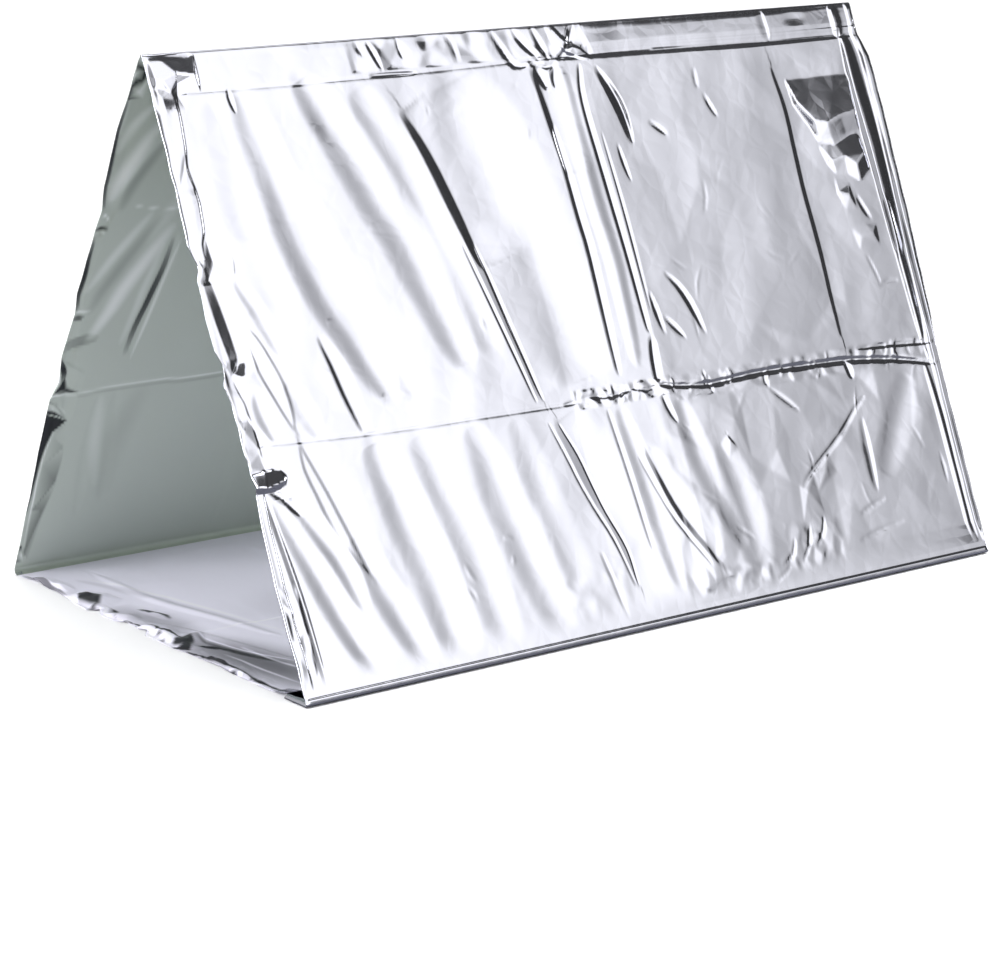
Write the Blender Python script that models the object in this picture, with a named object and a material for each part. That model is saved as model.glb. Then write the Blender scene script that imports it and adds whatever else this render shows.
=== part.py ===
"""An emergency foil blanket pitched as a small A-frame shelter, one solid.

The blanket is one piece of film. It starts inside the near corner, runs along
the ground as a floor, goes up the far side, over the ridge and down the near
side, and is folded in under the floor's edge. The film is cut flat, creased
along its folds, hung on that section and thickened.

Metres, +Z up. X runs along the ridge, with the open hemmed end at -X, Y across
the shelter with the near side at -Y, and Z = 0 is the ground. The origin is the
middle of the floor. The flat cut is measured from the open end instead.
"""

import math
from collections import namedtuple

import bpy
import numpy as np
from mathutils import Vector, geometry

MM = 0.001

# Driving sizes.
LENGTH = 1.043  # of both base edges
HEIGHT = 0.665  # from the ground to the crest
WIDTH = 0.626  # of the floor, from base edge to base edge
RIDGE_Y = -0.009  # the crest hangs this far to the near side of the middle
OPEN_END_LEAN = 0.005  # the ridge reaches this far past the base at the open end
FAR_END_LEAN = 0.012  # and this far past it at the far end
FILM = 0.002  # the film with its fine creases, as a solid
RIDGE_RADIUS = 0.004
FAR_FOLD_RADIUS = 0.006
NEAR_FOLD_RADIUS = 0.0025
FLAP_WIDTH = 0.042  # folded in on the ground at the near base edge
LAYER_GAP = 0.002  # air between the flap and the floor that lies over it
OVERLAP_RISE = 0.024  # the run in which the floor steps up over the flap
FLOOR_EDGE_Y = 0.010  # from the near base edge to the floor's own edge
BEND_STEPS = 4

# The mesh of the flat cut.
COLUMN_PITCH = 0.050
ROW_PITCH = 0.058
FOLD_PITCH = 0.048
CLEAR_OF_FOLDS = 0.011
MERGE = 0.0006

# The roll of the hem at the open end: shares of its width, and how full it is.
HEM_THICK = 0.008
HEM_ROLL = (
    # across the hem, fullness
    (0.00, 0.40),
    (0.30, 1.00),
    (0.65, 0.90),
    (1.00, 0.00),
)
HEM_WIDTHS = (
    # down the side, width
    (0.000, 0.034),
    (0.080, 0.027),
    (0.240, 0.017),
    (0.300, 0.021),
    (0.364, 0.015),
    (0.440, 0.023),
    (0.495, 0.015),
    (0.560, 0.020),
    (0.700, 0.012),
)
HEM_PINCHES = (0.047, 0.242, 0.364, 0.446, 0.493)  # down the side
PINCH_REACH = 0.020
PINCH_FULLNESS = 0.35
PINCH_INSET = 0.004  # how far a pinch draws the edge in
HEM_END = 0.700  # the roll runs out this far down the side
HEM_FADE = 0.050

# The turned edge at the far end.
FAR_HEM_WIDTH = 0.020
FAR_HEM_THICK = 0.0035

# The floor's ragged front edge.
FLOOR_EDGE = (
    # y, pulled in by
    (-0.300, 0.004),
    (-0.270, 0.014),
    (-0.200, 0.007),
    (-0.133, 0.002),
    (-0.062, 0.000),
    (-0.024, 0.030),
    (0.020, 0.012),
    (0.073, 0.000),
    (0.174, 0.017),
    (0.234, 0.018),
    (0.300, 0.000),
)

# A fold runs through its places, in millimetres from the open end and down
# the side from the crest, or across the floor by y. It is a trough where its
# depth is below 0 and a ridge where it is above, seen from outside.
Fold = namedtuple("Fold", "panel half depth places")
FOLDS = (
    # The groove along the inner edge of each side's hem.
    Fold("near", 7, -3.5, ((40, 60), (34, 150), (26, 240), (30, 300))),
    Fold("near", 6, -3.0, ((33, 420), (32, 470), (27, 560), (20, 680))),
    Fold("far", 7, -3.5, ((40, 60), (34, 150), (27, 240), (31, 400))),
    # The two packing creases that run the length of each side.
    Fold("near", 11, -3.0, ((44, 48), (290, 50), (600, 43), (1026, 43))),
    Fold("near", 14, -4.5, ((38, 446), (160, 450), (461, 455), (594, 450), (1028, 462))),
    Fold("far", 11, -3.0, ((44, 47), (520, 49), (1026, 44))),
    Fold("far", 14, -4.5, ((38, 465), (227, 471), (640, 455), (1028, 462))),
    # Tension folds that fan down from the near side's ridge.
    Fold("near", 16, -4.0, ((95, 72), (122, 196), (146, 300), (176, 388))),
    Fold("near", 17, -4.0, ((181, 64), (223, 172), (269, 280), (298, 387))),
    Fold("near", 13, -7.0, ((315, 82), (338, 158), (357, 251), (404, 440))),
    Fold("near", 12, -7.0, ((517, 60), (523, 183), (526, 268), (523, 421))),
    Fold("near", 11, -6.5, ((580, 77), (584, 237), (578, 378))),
    Fold("near", 15, 4.0, ((450, 90), (462, 250), (470, 400))),
    Fold("near", 9, -5.0, ((609, 60), (632, 87), (632, 143))),
    Fold("near", 9, -3.5, ((762, 70), (759, 97), (775, 145))),
    Fold("near", 14, -6.0, ((893, 70), (893, 203), (882, 362), (886, 430))),
    Fold("near", 16, 4.5, ((836, 90), (822, 240), (830, 400))),
    Fold("near", 14, -4.0, ((720, 180), (706, 300), (716, 420))),
    Fold("near", 9, -3.5, ((1000, 96), (996, 200), (1004, 330), (1010, 440))),
    # Short lens-shaped creases beside the open end.
    Fold("near", 9, -4.5, ((50, 316), (58, 360), (76, 430))),
    Fold("near", 10, -5.5, ((122, 325), (156, 436))),
    Fold("near", 8, -3.5, ((635, 324), (658, 352), (676, 400))),
    # Below the lower packing crease.
    Fold("near", 9, -4.0, ((70, 466), (84, 520), (112, 589))),
    Fold("near", 15, -4.5, ((153, 470), (188, 580), (196, 690))),
    Fold("near", 12, -6.0, ((399, 466), (430, 500), (452, 600), (476, 690))),
    Fold("near", 15, 5.0, ((290, 500), (322, 600), (330, 700))),
    Fold("near", 15, 5.5, ((534, 500), (572, 595), (590, 690))),
    Fold("near", 11, -4.0, ((662, 500), (646, 610), (624, 700))),
    Fold("near", 12, -4.5, ((906, 500), (823, 566), (740, 640))),
    Fold("near", 9, -3.5, ((950, 530), (944, 620), (960, 700))),
    # Between the crest and the upper packing crease.
    Fold("near", 6, -2.5, ((472, 10), (493, 38))),
    Fold("near", 6, -2.5, ((287, 10), (304, 38))),
    # The far side, whose open end shows inside and whose rest is plain.
    Fold("far", 13, 6.0, ((112, 240), (98, 340), (80, 430))),
    Fold("far", 11, -4.0, ((70, 90), (72, 200), (58, 330))),
    Fold("far", 13, -4.5, ((220, 80), (232, 240), (226, 430))),
    Fold("far", 14, -6.0, ((430, 70), (446, 250), (440, 430))),
    Fold("far", 15, 4.5, ((640, 90), (620, 260), (634, 420))),
    Fold("far", 13, -5.5, ((840, 70), (852, 240), (846, 430))),
    Fold("far", 14, -4.5, ((150, 500), (176, 600), (172, 690))),
    Fold("far", 15, 5.0, ((360, 500), (390, 600), (384, 690))),
    Fold("far", 13, -5.0, ((590, 490), (570, 600), (584, 690))),
    Fold("far", 12, -4.5, ((930, 500), (850, 570), (790, 660))),
    # The floor, where a fold can only stand up from the ground.
    Fold("floor", 19, -6.5, ((80, 290), (78, 135), (101, 14), (126, -90))),
    Fold("floor", 15, -5.5, ((24, 64), (50, -19), (84, -160))),
    Fold("floor", 11, -2.5, ((60, -12), (400, -20), (1010, -8))),
    Fold("floor", 20, -5.0, ((300, 260), (338, 60), (320, -190))),
    Fold("floor", 20, -4.5, ((610, 270), (590, 90), (622, -180))),
    Fold("floor", 20, -5.0, ((870, 250), (894, 60), (880, -200))),
)


def clear_scene():
    """Removes the objects that the scene starts with."""
    for item in list(bpy.data.objects):
        bpy.data.objects.remove(item, do_unlink=True)


def read_table(table, value):
    """The table's second column at value, straight between its rows."""
    first, second = np.array(table).T
    return np.interp(value, first, second)


def pinch(down):
    """How much the hem is pinched at each distance down a side, from 0 to 1."""
    shares = [1 - np.abs(down - place) / PINCH_REACH for place in HEM_PINCHES]
    return np.max(shares, axis=0).clip(0)


def bend(before, corner, after, radius):
    """Points (y, z) of the arc that rounds off a corner."""
    corner = Vector(corner)
    back = (Vector(before) - corner).normalized()
    on = (Vector(after) - corner).normalized()
    half = back.angle(on) / 2
    centre = corner + (back + on).normalized() * radius / math.sin(half)
    start = corner + back * radius / math.tan(half) - centre
    turn = math.pi - 2 * half
    if back.x * on.y - back.y * on.x > 0:
        turn = -turn
    angles = np.linspace(0, turn, BEND_STEPS + 1)
    y = centre.x + start.x * np.cos(angles) - start.y * np.sin(angles)
    z = centre.y + start.x * np.sin(angles) + start.y * np.cos(angles)
    return list(zip(y, z))


class Section:
    """The way of the film round the shelter, measured along the film."""

    def __init__(self):
        low = FILM / 2
        lapped = low + FILM + LAYER_GAP
        near_y = low - WIDTH / 2 - self.trim(WIDTH / 2 + RIDGE_Y, NEAR_FOLD_RADIUS)
        far_y = WIDTH / 2 - low + self.trim(WIDTH / 2 - RIDGE_Y, FAR_FOLD_RADIUS)
        lean = math.atan2(RIDGE_Y - near_y, HEIGHT) + math.atan2(far_y - RIDGE_Y, HEIGHT)
        crest_z = HEIGHT - low + RIDGE_RADIUS * (1 / math.sin(lean / 2) - 1)
        flap_end = low - WIDTH / 2 + FLAP_WIDTH
        lap_end = flap_end + 2 * FILM
        corners = (
            # y, z, radius
            (FLOOR_EDGE_Y - WIDTH / 2, lapped, 0),
            (lap_end, lapped, FILM),
            (lap_end + OVERLAP_RISE, low, FILM),
            (far_y, low, FAR_FOLD_RADIUS),
            (RIDGE_Y, crest_z, RIDGE_RADIUS),
            (near_y, low, NEAR_FOLD_RADIUS),
            (flap_end, low, 0),
        )
        path, bends = [corners[0][:2]], []
        for before, corner, after in zip(corners, corners[1:], corners[2:]):
            bends.append(len(path))
            path += bend(before[:2], corner[:2], after[:2], corner[2])
        self.path = np.array([*path, corners[-1][:2]])
        steps = np.linalg.norm(np.diff(self.path, axis=0), axis=1)
        self.along = np.concatenate([[0.0], np.cumsum(steps)])
        far_bend, crest_bend, near_bend = bends[-3:]
        self.far_base = self.along[far_bend + BEND_STEPS]
        self.crest = self.along[crest_bend + BEND_STEPS // 2]
        self.near_base = self.along[near_bend]

    @staticmethod
    def trim(run, radius):
        """How much width a base corner of this radius rounds away."""
        half = math.atan2(HEIGHT, run) / 2
        return radius * (1 / math.tan(half) - 1)

    def place(self, along):
        """The (y, z) of the film at each distance along it."""
        y, z = (np.interp(along, self.along, self.path[:, axis]) for axis in (0, 1))
        return np.stack([y, z], axis=-1)

    def outward(self, along):
        """The unit (y, z) that points out of the shelter at each distance."""
        way = self.place(along + FILM) - self.place(along - FILM)
        way /= np.linalg.norm(way, axis=-1, keepdims=True)
        return np.stack([way[..., 1], -way[..., 0]], axis=-1)

    def on_floor(self, along):
        """Whether each distance is on the floor."""
        return along < self.far_base

    def on_side(self, along):
        """Whether each distance is on one of the two sides."""
        return (along > self.far_base) & (along < self.near_base)

    def down_side(self, along):
        """How far down a side from the crest each distance is."""
        return np.abs(along - self.crest)

    def height_share(self, along):
        """1 at the crest and 0 on the ground."""
        return self.place(along)[..., 1] / HEIGHT

    def along_at(self, panel, place):
        """The distance along the film of a place on a panel, as FOLDS gives it."""
        if panel == "near":
            return self.crest + place
        if panel == "far":
            return self.crest - place
        floor = self.on_floor(self.along)
        return float(np.interp(place, self.path[floor, 0], self.along[floor]))


class Crease:
    """A fold on the flat cut: its centre line, half width and depth."""

    def __init__(self, fold, section):
        places = [(x * MM, section.along_at(fold.panel, at * MM)) for x, at in fold.places]
        places = np.array(places)
        runs = np.linalg.norm(np.diff(places, axis=0), axis=1)
        total = np.concatenate([[0.0], np.cumsum(runs)])
        count = max(4, round(total[-1] / FOLD_PITCH))
        spots = np.linspace(0, total[-1], count + 1)
        columns = [np.interp(spots, total, places[:, axis]) for axis in (0, 1)]
        swell = np.sqrt(np.sin(np.linspace(0, math.pi, count + 1)).clip(0))
        self.centre = np.stack(columns, axis=1)
        self.half = fold.half * MM * swell
        self.depth = fold.depth * MM * swell

    def spans(self, points):
        """Each straight span's number, and every point's share along it and distance from it."""
        for start in range(len(self.centre) - 1):
            first, run = self.centre[start], self.centre[start + 1] - self.centre[start]
            share = ((points - first) @ run / (run @ run)).clip(0, 1)
            yield start, share, np.linalg.norm(points - first - share[:, None] * run, axis=1)

    def push(self, points):
        """How far the fold pushes each flat point out."""
        best = np.zeros(len(points))
        for start, share, away in self.spans(points):
            half = self.half[start] * (1 - share) + self.half[start + 1] * share
            depth = self.depth[start] * (1 - share) + self.depth[start + 1] * share
            push = depth * (1 - away / np.maximum(half, MERGE)).clip(0)
            best = np.where(np.abs(push) > np.abs(best), push, best)
        return best

    def near(self, points):
        """Which flat points lie so near that they would crowd the fold's own."""
        found = np.zeros(len(points), bool)
        for start, _, away in self.spans(points):
            found |= away < self.half[start : start + 2].max() + CLEAR_OF_FOLDS
        return found

    def lines(self):
        """The centre line and the two flanks, each from one tip to the other."""
        run = np.gradient(self.centre, axis=0)
        run /= np.linalg.norm(run, axis=1, keepdims=True)
        flank = np.stack([-run[:, 1], run[:, 0]], axis=1) * self.half[:, None]
        return self.centre, self.centre + flank, self.centre - flank


class FlatCut:
    """The film laid flat, as points (x, along) and triangles."""

    def __init__(self, section, creases):
        self.section = section
        self.rows = self.row_places()
        self.grid, self.index = self.base_grid()
        rim = self.rim()
        keep = self.kept(rim, creases)
        number = np.cumsum(keep) - 1
        points = [tuple(point) for point in self.grid[keep]]
        kept_lines = [*self.bend_rows(), *self.index[:, 1 : len(HEM_ROLL)].T]
        edges = [(number[a], number[b]) for line in kept_lines for a, b in zip(line, line[1:])]
        for crease in creases:
            for line in crease.lines():
                first = len(points)
                points += [tuple(point) for point in line]
                edges += [(first + step, first + step + 1) for step in range(len(line) - 1)]
        outline = [int(number[corner]) for corner in rim]
        edges = [(int(a), int(b)) for a, b in edges]
        vertices = [Vector(point) for point in points]
        found = geometry.delaunay_2d_cdt(vertices, edges, [outline], 1, MERGE)
        self.points = np.array([tuple(point) for point in found[0]])
        self.faces = [tuple(face) for face in found[2]]

    def row_places(self):
        """Distances along the film of the grid's rows, one at each bend's point and each pinch."""
        near = [self.section.crest + place for place in HEM_PINCHES]
        far = [self.section.crest - place for place in HEM_PINCHES]
        stops = np.sort([*self.section.along, *near, *far])
        rows = [0.0]
        for start, end in zip(stops, stops[1:]):
            steps = max(1, round((end - start) / ROW_PITCH))
            rows.extend(np.linspace(start, end, steps + 1)[1:])
        return np.array(rows)

    def base_grid(self):
        """The grid's points, and their numbers by row and column."""
        hem = np.array([share for share, _ in HEM_ROLL])
        first = read_table(HEM_WIDTHS, 0) + 2 * CLEAR_OF_FOLDS
        inner = np.arange(first, LENGTH - FAR_HEM_WIDTH - COLUMN_PITCH / 2, COLUMN_PITCH)
        points = []
        for row in self.rows:
            hem_x = hem * read_table(HEM_WIDTHS, self.section.down_side(row))
            points += [(x, row) for x in (*hem_x, *inner, LENGTH - FAR_HEM_WIDTH, LENGTH)]
        grid = np.array(points)
        along = grid[:, 1]
        ragged = read_table(FLOOR_EDGE, self.section.place(along)[:, 0])
        inset = PINCH_INSET * pinch(self.section.down_side(along)) * self.section.on_side(along)
        pulled = np.where(self.section.on_floor(along), ragged, inset)
        grid[:, 0] += pulled * (1 - grid[:, 0] / LENGTH)
        return grid, np.arange(len(grid)).reshape(len(self.rows), -1)

    def rim(self):
        """The numbers of the grid's outline, in order."""
        index = self.index
        return [*index[0], *index[1:-1, -1], *index[-1, ::-1], *index[-2:0:-1, 0]]

    def bend_rows(self):
        """The rows of numbers at the points of a bend, whose edges are kept."""
        return self.index[np.isin(self.rows, self.section.along)]

    def kept(self, rim, creases):
        """Which grid points stay: all but the loose ones that crowd a fold."""
        loose = np.ones(len(self.grid), bool)
        loose[rim] = False
        loose[self.bend_rows()] = False
        loose[self.index[:, : len(HEM_ROLL)]] = False
        crowded = np.any([crease.near(self.grid) for crease in creases], axis=0)
        return ~(loose & crowded)

    def thickness(self):
        """The thickness of the film at each point, hems included."""
        x, along = self.points.T
        down = self.section.down_side(along)
        fullness = read_table(HEM_ROLL, x / read_table(HEM_WIDTHS, down))
        fullness *= 1 - (1 - PINCH_FULLNESS) * pinch(down)
        fullness *= np.interp(down, (HEM_END - HEM_FADE, HEM_END), (1, 0))
        roll = (HEM_THICK - FILM) * fullness
        turned = (FAR_HEM_THICK - FILM) * np.interp(LENGTH - x, (0, FAR_HEM_WIDTH), (1, 0))
        return FILM + np.maximum(roll, turned) * self.section.on_side(along)

    def hung(self, creases):
        """The points hung on the section and pushed out by their folds."""
        x, along = self.points.T
        push = np.sum([crease.push(self.points) for crease in creases], axis=0)
        place = self.section.place(along) + self.section.outward(along) * push[:, None]
        share = x / LENGTH
        lean = FAR_END_LEAN * share - OPEN_END_LEAN * (1 - share)
        middle = (LENGTH + FAR_END_LEAN - OPEN_END_LEAN) / 2
        return np.column_stack([x + lean * self.section.height_share(along) - middle, place])


def film_material():
    """Aluminised film: a bright mirror with a little haze."""
    material = bpy.data.materials.new("aluminised film")
    material.use_nodes = True
    shader = material.node_tree.nodes["Principled BSDF"]
    shader.inputs["Base Color"].default_value = (0.78, 0.78, 0.82, 1)
    shader.inputs["Metallic"].default_value = 1.0
    shader.inputs["Roughness"].default_value = 0.18
    return material


def foil_sheet():
    """The whole blanket as one solid."""
    section = Section()
    creases = [Crease(fold, section) for fold in FOLDS]
    cut = FlatCut(section, creases)
    mesh = bpy.data.meshes.new("foil_sheet")
    mesh.from_pydata(cut.hung(creases).tolist(), [], cut.faces)
    mesh.materials.append(film_material())
    sheet = bpy.data.objects.new("foil_sheet", mesh)
    bpy.context.collection.objects.link(sheet)
    fullness = sheet.vertex_groups.new(name="thickness")
    for vertex, thick in enumerate(cut.thickness()):
        fullness.add([vertex], float(thick / HEM_THICK), "REPLACE")
    solid = sheet.modifiers.new("film", "SOLIDIFY")
    solid.thickness = HEM_THICK
    solid.offset = 0.0
    solid.use_even_offset = True
    solid.vertex_group = fullness.name
    return sheet


def main():
    clear_scene()
    foil_sheet()


if __name__ == "__main__":
    main()
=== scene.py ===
"""Dresses the pitched foil blanket: its film with the folds, hems and finish, and the studio round it."""

import logging
import math
from collections.abc import Sequence
from dataclasses import dataclass, field
from enum import Enum

import bpy
import numpy as np
from mathutils import Matrix, Vector, geometry


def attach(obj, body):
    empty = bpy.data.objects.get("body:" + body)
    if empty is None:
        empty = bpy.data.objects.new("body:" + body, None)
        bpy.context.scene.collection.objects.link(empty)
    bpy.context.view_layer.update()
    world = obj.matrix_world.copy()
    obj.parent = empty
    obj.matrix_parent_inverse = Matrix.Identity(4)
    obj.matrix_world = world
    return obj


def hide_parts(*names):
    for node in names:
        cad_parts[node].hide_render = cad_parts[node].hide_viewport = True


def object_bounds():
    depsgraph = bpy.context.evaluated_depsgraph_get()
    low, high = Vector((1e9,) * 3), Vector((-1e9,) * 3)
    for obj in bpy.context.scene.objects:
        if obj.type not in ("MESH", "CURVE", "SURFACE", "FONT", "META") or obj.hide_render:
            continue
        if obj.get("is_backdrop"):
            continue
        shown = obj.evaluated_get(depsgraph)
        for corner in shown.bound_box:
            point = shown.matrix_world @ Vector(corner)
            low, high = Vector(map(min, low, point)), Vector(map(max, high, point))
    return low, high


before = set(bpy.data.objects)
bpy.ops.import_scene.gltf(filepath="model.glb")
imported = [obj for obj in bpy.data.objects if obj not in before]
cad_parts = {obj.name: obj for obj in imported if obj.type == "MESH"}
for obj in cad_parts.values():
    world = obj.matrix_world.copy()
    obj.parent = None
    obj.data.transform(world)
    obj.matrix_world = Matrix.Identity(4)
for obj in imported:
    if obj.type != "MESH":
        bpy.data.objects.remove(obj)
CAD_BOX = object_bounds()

LOG = logging.getLogger("foil_shelter")
MM = 0.001
NODE = "foil_sheet"
BODY = "root"
# How finely the spacing of rows and columns is worked out.
SPACING_STEPS = 4000
# A Mix node's colour sockets, whose names its other sockets share.
MIX_A, MIX_B, MIX_RESULT = 6, 7, 2

Pair = tuple[float, float]
Triple = tuple[float, float, float]
Table = Sequence[Pair]
# A grid's rows, a mask over them, and the masked points' x and down.
Spots = tuple[slice, np.ndarray, np.ndarray, np.ndarray]


def linear(hex_colour: str) -> tuple[float, float, float, float]:
    """Turns an sRGB hex colour to the linear colour that shaders take.

    Args:
        hex_colour: such as "#c9cad6".

    Returns:
        Red, green, blue and an alpha of 1.
    """
    parts = [int(hex_colour[at : at + 2], 16) / 255 for at in (1, 3, 5)]
    bent = [part / 12.92 if part <= 0.04045 else ((part + 0.055) / 1.055) ** 2.4 for part in parts]
    return (bent[0], bent[1], bent[2], 1.0)


def read_table(table: Table, value: np.ndarray | float) -> np.ndarray:
    """Reads a table of places and values at some places, straight between its rows."""
    places, values = np.array(table, float).T
    return np.interp(value, places, values)


def even(value: float) -> Table:
    """A table that holds one value at every place."""
    return ((0, value), (1, value))


def smooth(share: np.ndarray) -> np.ndarray:
    """Eases a share of 0 to 1 in and out."""
    share = np.clip(share, 0, 1)
    return share * share * (3 - 2 * share)


def soften(height: np.ndarray) -> np.ndarray:
    """Rounds the sharp ridges of a grid by one point each way.

    Args:
        height: the grid's heights.

    Returns:
        The rounded ones.
    """
    eased = np.pad(height, 1, mode="edge")
    eased = (eased[:-2] + 2 * eased[1:-1] + eased[2:]) / 4
    return (eased[:, :-2] + 2 * eased[:, 1:-1] + eased[:, 2:]) / 4


def spaced(start: float, end: float, pitch: float, dense: Sequence[Triple]) -> np.ndarray:
    """Places from start to end, closer together round some of them.

    Args:
        start: the first place.
        end: the last place.
        pitch: the usual distance between places.
        dense: rows of a place, its reach each way and the pitch there.

    Returns:
        The places, rising.
    """
    fine = np.linspace(start, end, SPACING_STEPS)
    wanted = np.full_like(fine, pitch)
    for place, reach, close in dense:
        share = smooth(1 - (np.abs(fine - place) - reach) / reach)
        wanted = np.minimum(wanted, pitch + (close - pitch) * share)
    steps = np.diff(fine) / ((wanted[1:] + wanted[:-1]) / 2)
    count = np.concatenate([[0], np.cumsum(steps)])
    return np.interp(np.linspace(0, count[-1], math.ceil(count[-1]) + 1), count, fine)


@dataclass(frozen=True)
class Waves:
    """Soft seeded unevenness, as the sum of some sine waves.

    Attributes:
        length: the usual wave's length, in metres.
        stretch: how many times longer it is down the film than along it.
        seed: which waves.
        count: how many.
        rates: the slowest and the quickest, as shares of the usual.
        level: what the sum is divided by, so that it keeps mostly to -1 to 1.
    """

    length: float
    stretch: float = 1.0
    seed: int = 1
    count: int = 28
    rates: Pair = (0.45, 1.5)
    level: float = 1.6

    def at(self, x: np.ndarray, down: np.ndarray) -> np.ndarray:
        """Adds up the waves.

        Args:
            x: places along the film.
            down: places down it.

        Returns:
            Their height at each place.
        """
        rng = np.random.default_rng(self.seed)
        angles = rng.uniform(0, math.tau, self.count)
        rates = math.tau / self.length * rng.uniform(*self.rates, self.count)
        phases = rng.uniform(0, math.tau, self.count)
        total = np.zeros(np.broadcast(x, down).shape)
        for angle, rate, phase in zip(angles, rates, phases):
            total += np.sin(rate * (x * math.cos(angle) + down / self.stretch * math.sin(angle)) + phase)
        return total * math.sqrt(2 / self.count) / self.level


@dataclass(frozen=True)
class Patch:
    """A rectangle of the flat film, in metres: lowest x and down, then highest."""

    left: float
    top: float
    right: float
    bottom: float

    @classmethod
    def round(cls, line: np.ndarray, reach: float, margin: float = 1.3) -> "Patch":
        """The patch that holds a line and its reach each way, with a margin on the reach."""
        low, high = line.min(axis=0) - reach * margin, line.max(axis=0) + reach * margin
        return cls(low[0], low[1], high[0], high[1])

    def inside(self, x: np.ndarray, down: np.ndarray) -> Spots | None:
        """Finds a grid's points in the patch.

        Args:
            x: each point's place along the film.
            down: each row's place down it.

        Returns:
            Them, or None where there are none.
        """
        rows = slice(*np.searchsorted(down, (self.top, self.bottom)))
        if rows.start >= rows.stop:
            return None
        band = x[rows]
        mask = (band > self.left) & (band < self.right)
        if not mask.any():
            return None
        return rows, mask, band[mask], np.broadcast_to(down[rows, None], band.shape)[mask]


class Form(Enum):
    """The section of a crease across its line."""

    SOFT = "soft"  # a rounded trough or ridge
    KINK = "kink"  # one kink with straight sides
    PLEAT = "pleat"  # steep on one side and long on the other
    TROUGH = "trough"  # a flat bottom between two steep walls


@dataclass(frozen=True)
class Crease:
    """One fold of the film.

    Attributes:
        places: where it runs, in mm from the open end and down from the crest.
        half: its half width in mm.
        depth: its height in mm, below 0 for a trough seen from outside.
        form: its section.
        blunt: how slowly it swells from its tips, 0 for at once.
        steep: a pleat's steep side in mm, on the left of a fold that is listed from the top.
        tip: its width at its tips, as a share of the full width.
        step: the usual step along its line, in metres.
        most_steps: how many it has at most from one place to the next.
        rim: where a trough's wall starts and how wide it is, as shares of the half width.
        bend: how much a kink's sides are hollowed.
    """

    places: tuple[Pair, ...]
    half: float
    depth: float
    form: Form = Form.KINK
    blunt: float = 0.5
    steep: float = 6.0
    tip: float = 0.35
    step: float = 0.012
    most_steps: int = 12
    rim: Pair = (0.9, 0.35)
    bend: float = 1.25

    def curve(self) -> np.ndarray:
        """Runs a smooth line through the crease's places.

        Returns:
            Its points, in metres.
        """
        points = np.array(self.places, float) * MM
        padded = np.vstack([2 * points[0] - points[1], points, 2 * points[-1] - points[-2]])
        runs = []
        for start in range(len(points) - 1):
            before, first, second, after = padded[start : start + 4]
            steps = max(2, min(self.most_steps, round(float(np.linalg.norm(second - first)) / self.step)))
            share = np.linspace(0, 1, steps, endpoint=False)[:, None]
            bend_in, bend_out = (second - before) / 2, (after - first) / 2
            runs.append(
                first * (2 * share**3 - 3 * share**2 + 1)
                + bend_in * (share**3 - 2 * share**2 + share)
                + second * (3 * share**2 - 2 * share**3)
                + bend_out * (share**3 - share**2)
            )
        return np.vstack([*runs, points[-1:]])

    def add_to(self, height: np.ndarray, x: np.ndarray, down: np.ndarray) -> None:
        """Adds the crease to a grid of heights.

        Args:
            height: rows by columns, changed in place.
            x: each point's place along the film.
            down: each row's place down it.
        """
        line, half = self.curve(), self.half * MM
        spots = Patch.round(line, max(half, self.steep * MM * (self.form is Form.PLEAT))).inside(x, down)
        if spots is None:
            return
        rows, mask, at_x, at_down = spots
        near, side, place = np.full(at_x.shape, np.inf), np.zeros(at_x.shape), np.zeros(at_x.shape)
        runs = np.diff(line, axis=0)
        lengths = np.linalg.norm(runs, axis=1)
        ends = np.concatenate([[0], np.cumsum(lengths)])
        for start, run, length, begun in zip(line, runs, lengths, ends):
            off_x, off_down = at_x - start[0], at_down - start[1]
            share = ((off_x * run[0] + off_down * run[1]) / length**2).clip(0, 1)
            away = np.hypot(off_x - share * run[0], off_down - share * run[1])
            closer = away < near
            near = np.where(closer, away, near)
            side = np.where(closer, np.sign(off_x * run[1] - off_down * run[0]), side)
            place = np.where(closer, begun + share * length, place)
        swell = np.sin(math.pi * (place / ends[-1]).clip(0.001, 0.999)) ** self.blunt
        width = half * (self.tip + (1 - self.tip) * swell)
        height[rows][mask] += self.depth * MM * swell * self.across(side * near / width)

    def across(self, place: np.ndarray) -> np.ndarray:
        """Reads the section.

        Args:
            place: shares of the half width, below 0 on the left.

        Returns:
            The section's height from 0 to 1 at each.
        """
        away = np.abs(place)
        if self.form is Form.KINK:
            return (1 - away).clip(0) ** self.bend
        if self.form is Form.TROUGH:
            return smooth((self.rim[0] - away) / self.rim[1])
        rounded = np.where(away < 1, np.cos(away.clip(0, 1) * math.pi / 2) ** 2, 0)
        if self.form is Form.SOFT:
            return rounded
        return np.where(place < 0, (1 - away * self.half / self.steep).clip(0), rounded)


def soft(half: float, depth: float, blunt: float, *places: Pair) -> Crease:
    """A rounded crease through some places."""
    return Crease(places, half, depth, Form.SOFT, blunt)


def kink(half: float, depth: float, blunt: float, *places: Pair) -> Crease:
    """A sharp crease with straight sides."""
    return Crease(places, half, depth, Form.KINK, blunt)


def trough(half: float, depth: float, blunt: float, *places: Pair) -> Crease:
    """A flat crease between two steep walls."""
    return Crease(places, half, depth, Form.TROUGH, blunt)


def pleat(half: float, depth: float, blunt: float, steep: float, *places: Pair) -> Crease:
    """A crease that is steep on its left, where it is listed from the top."""
    return Crease(places, half, depth, Form.PLEAT, blunt, steep)


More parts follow.
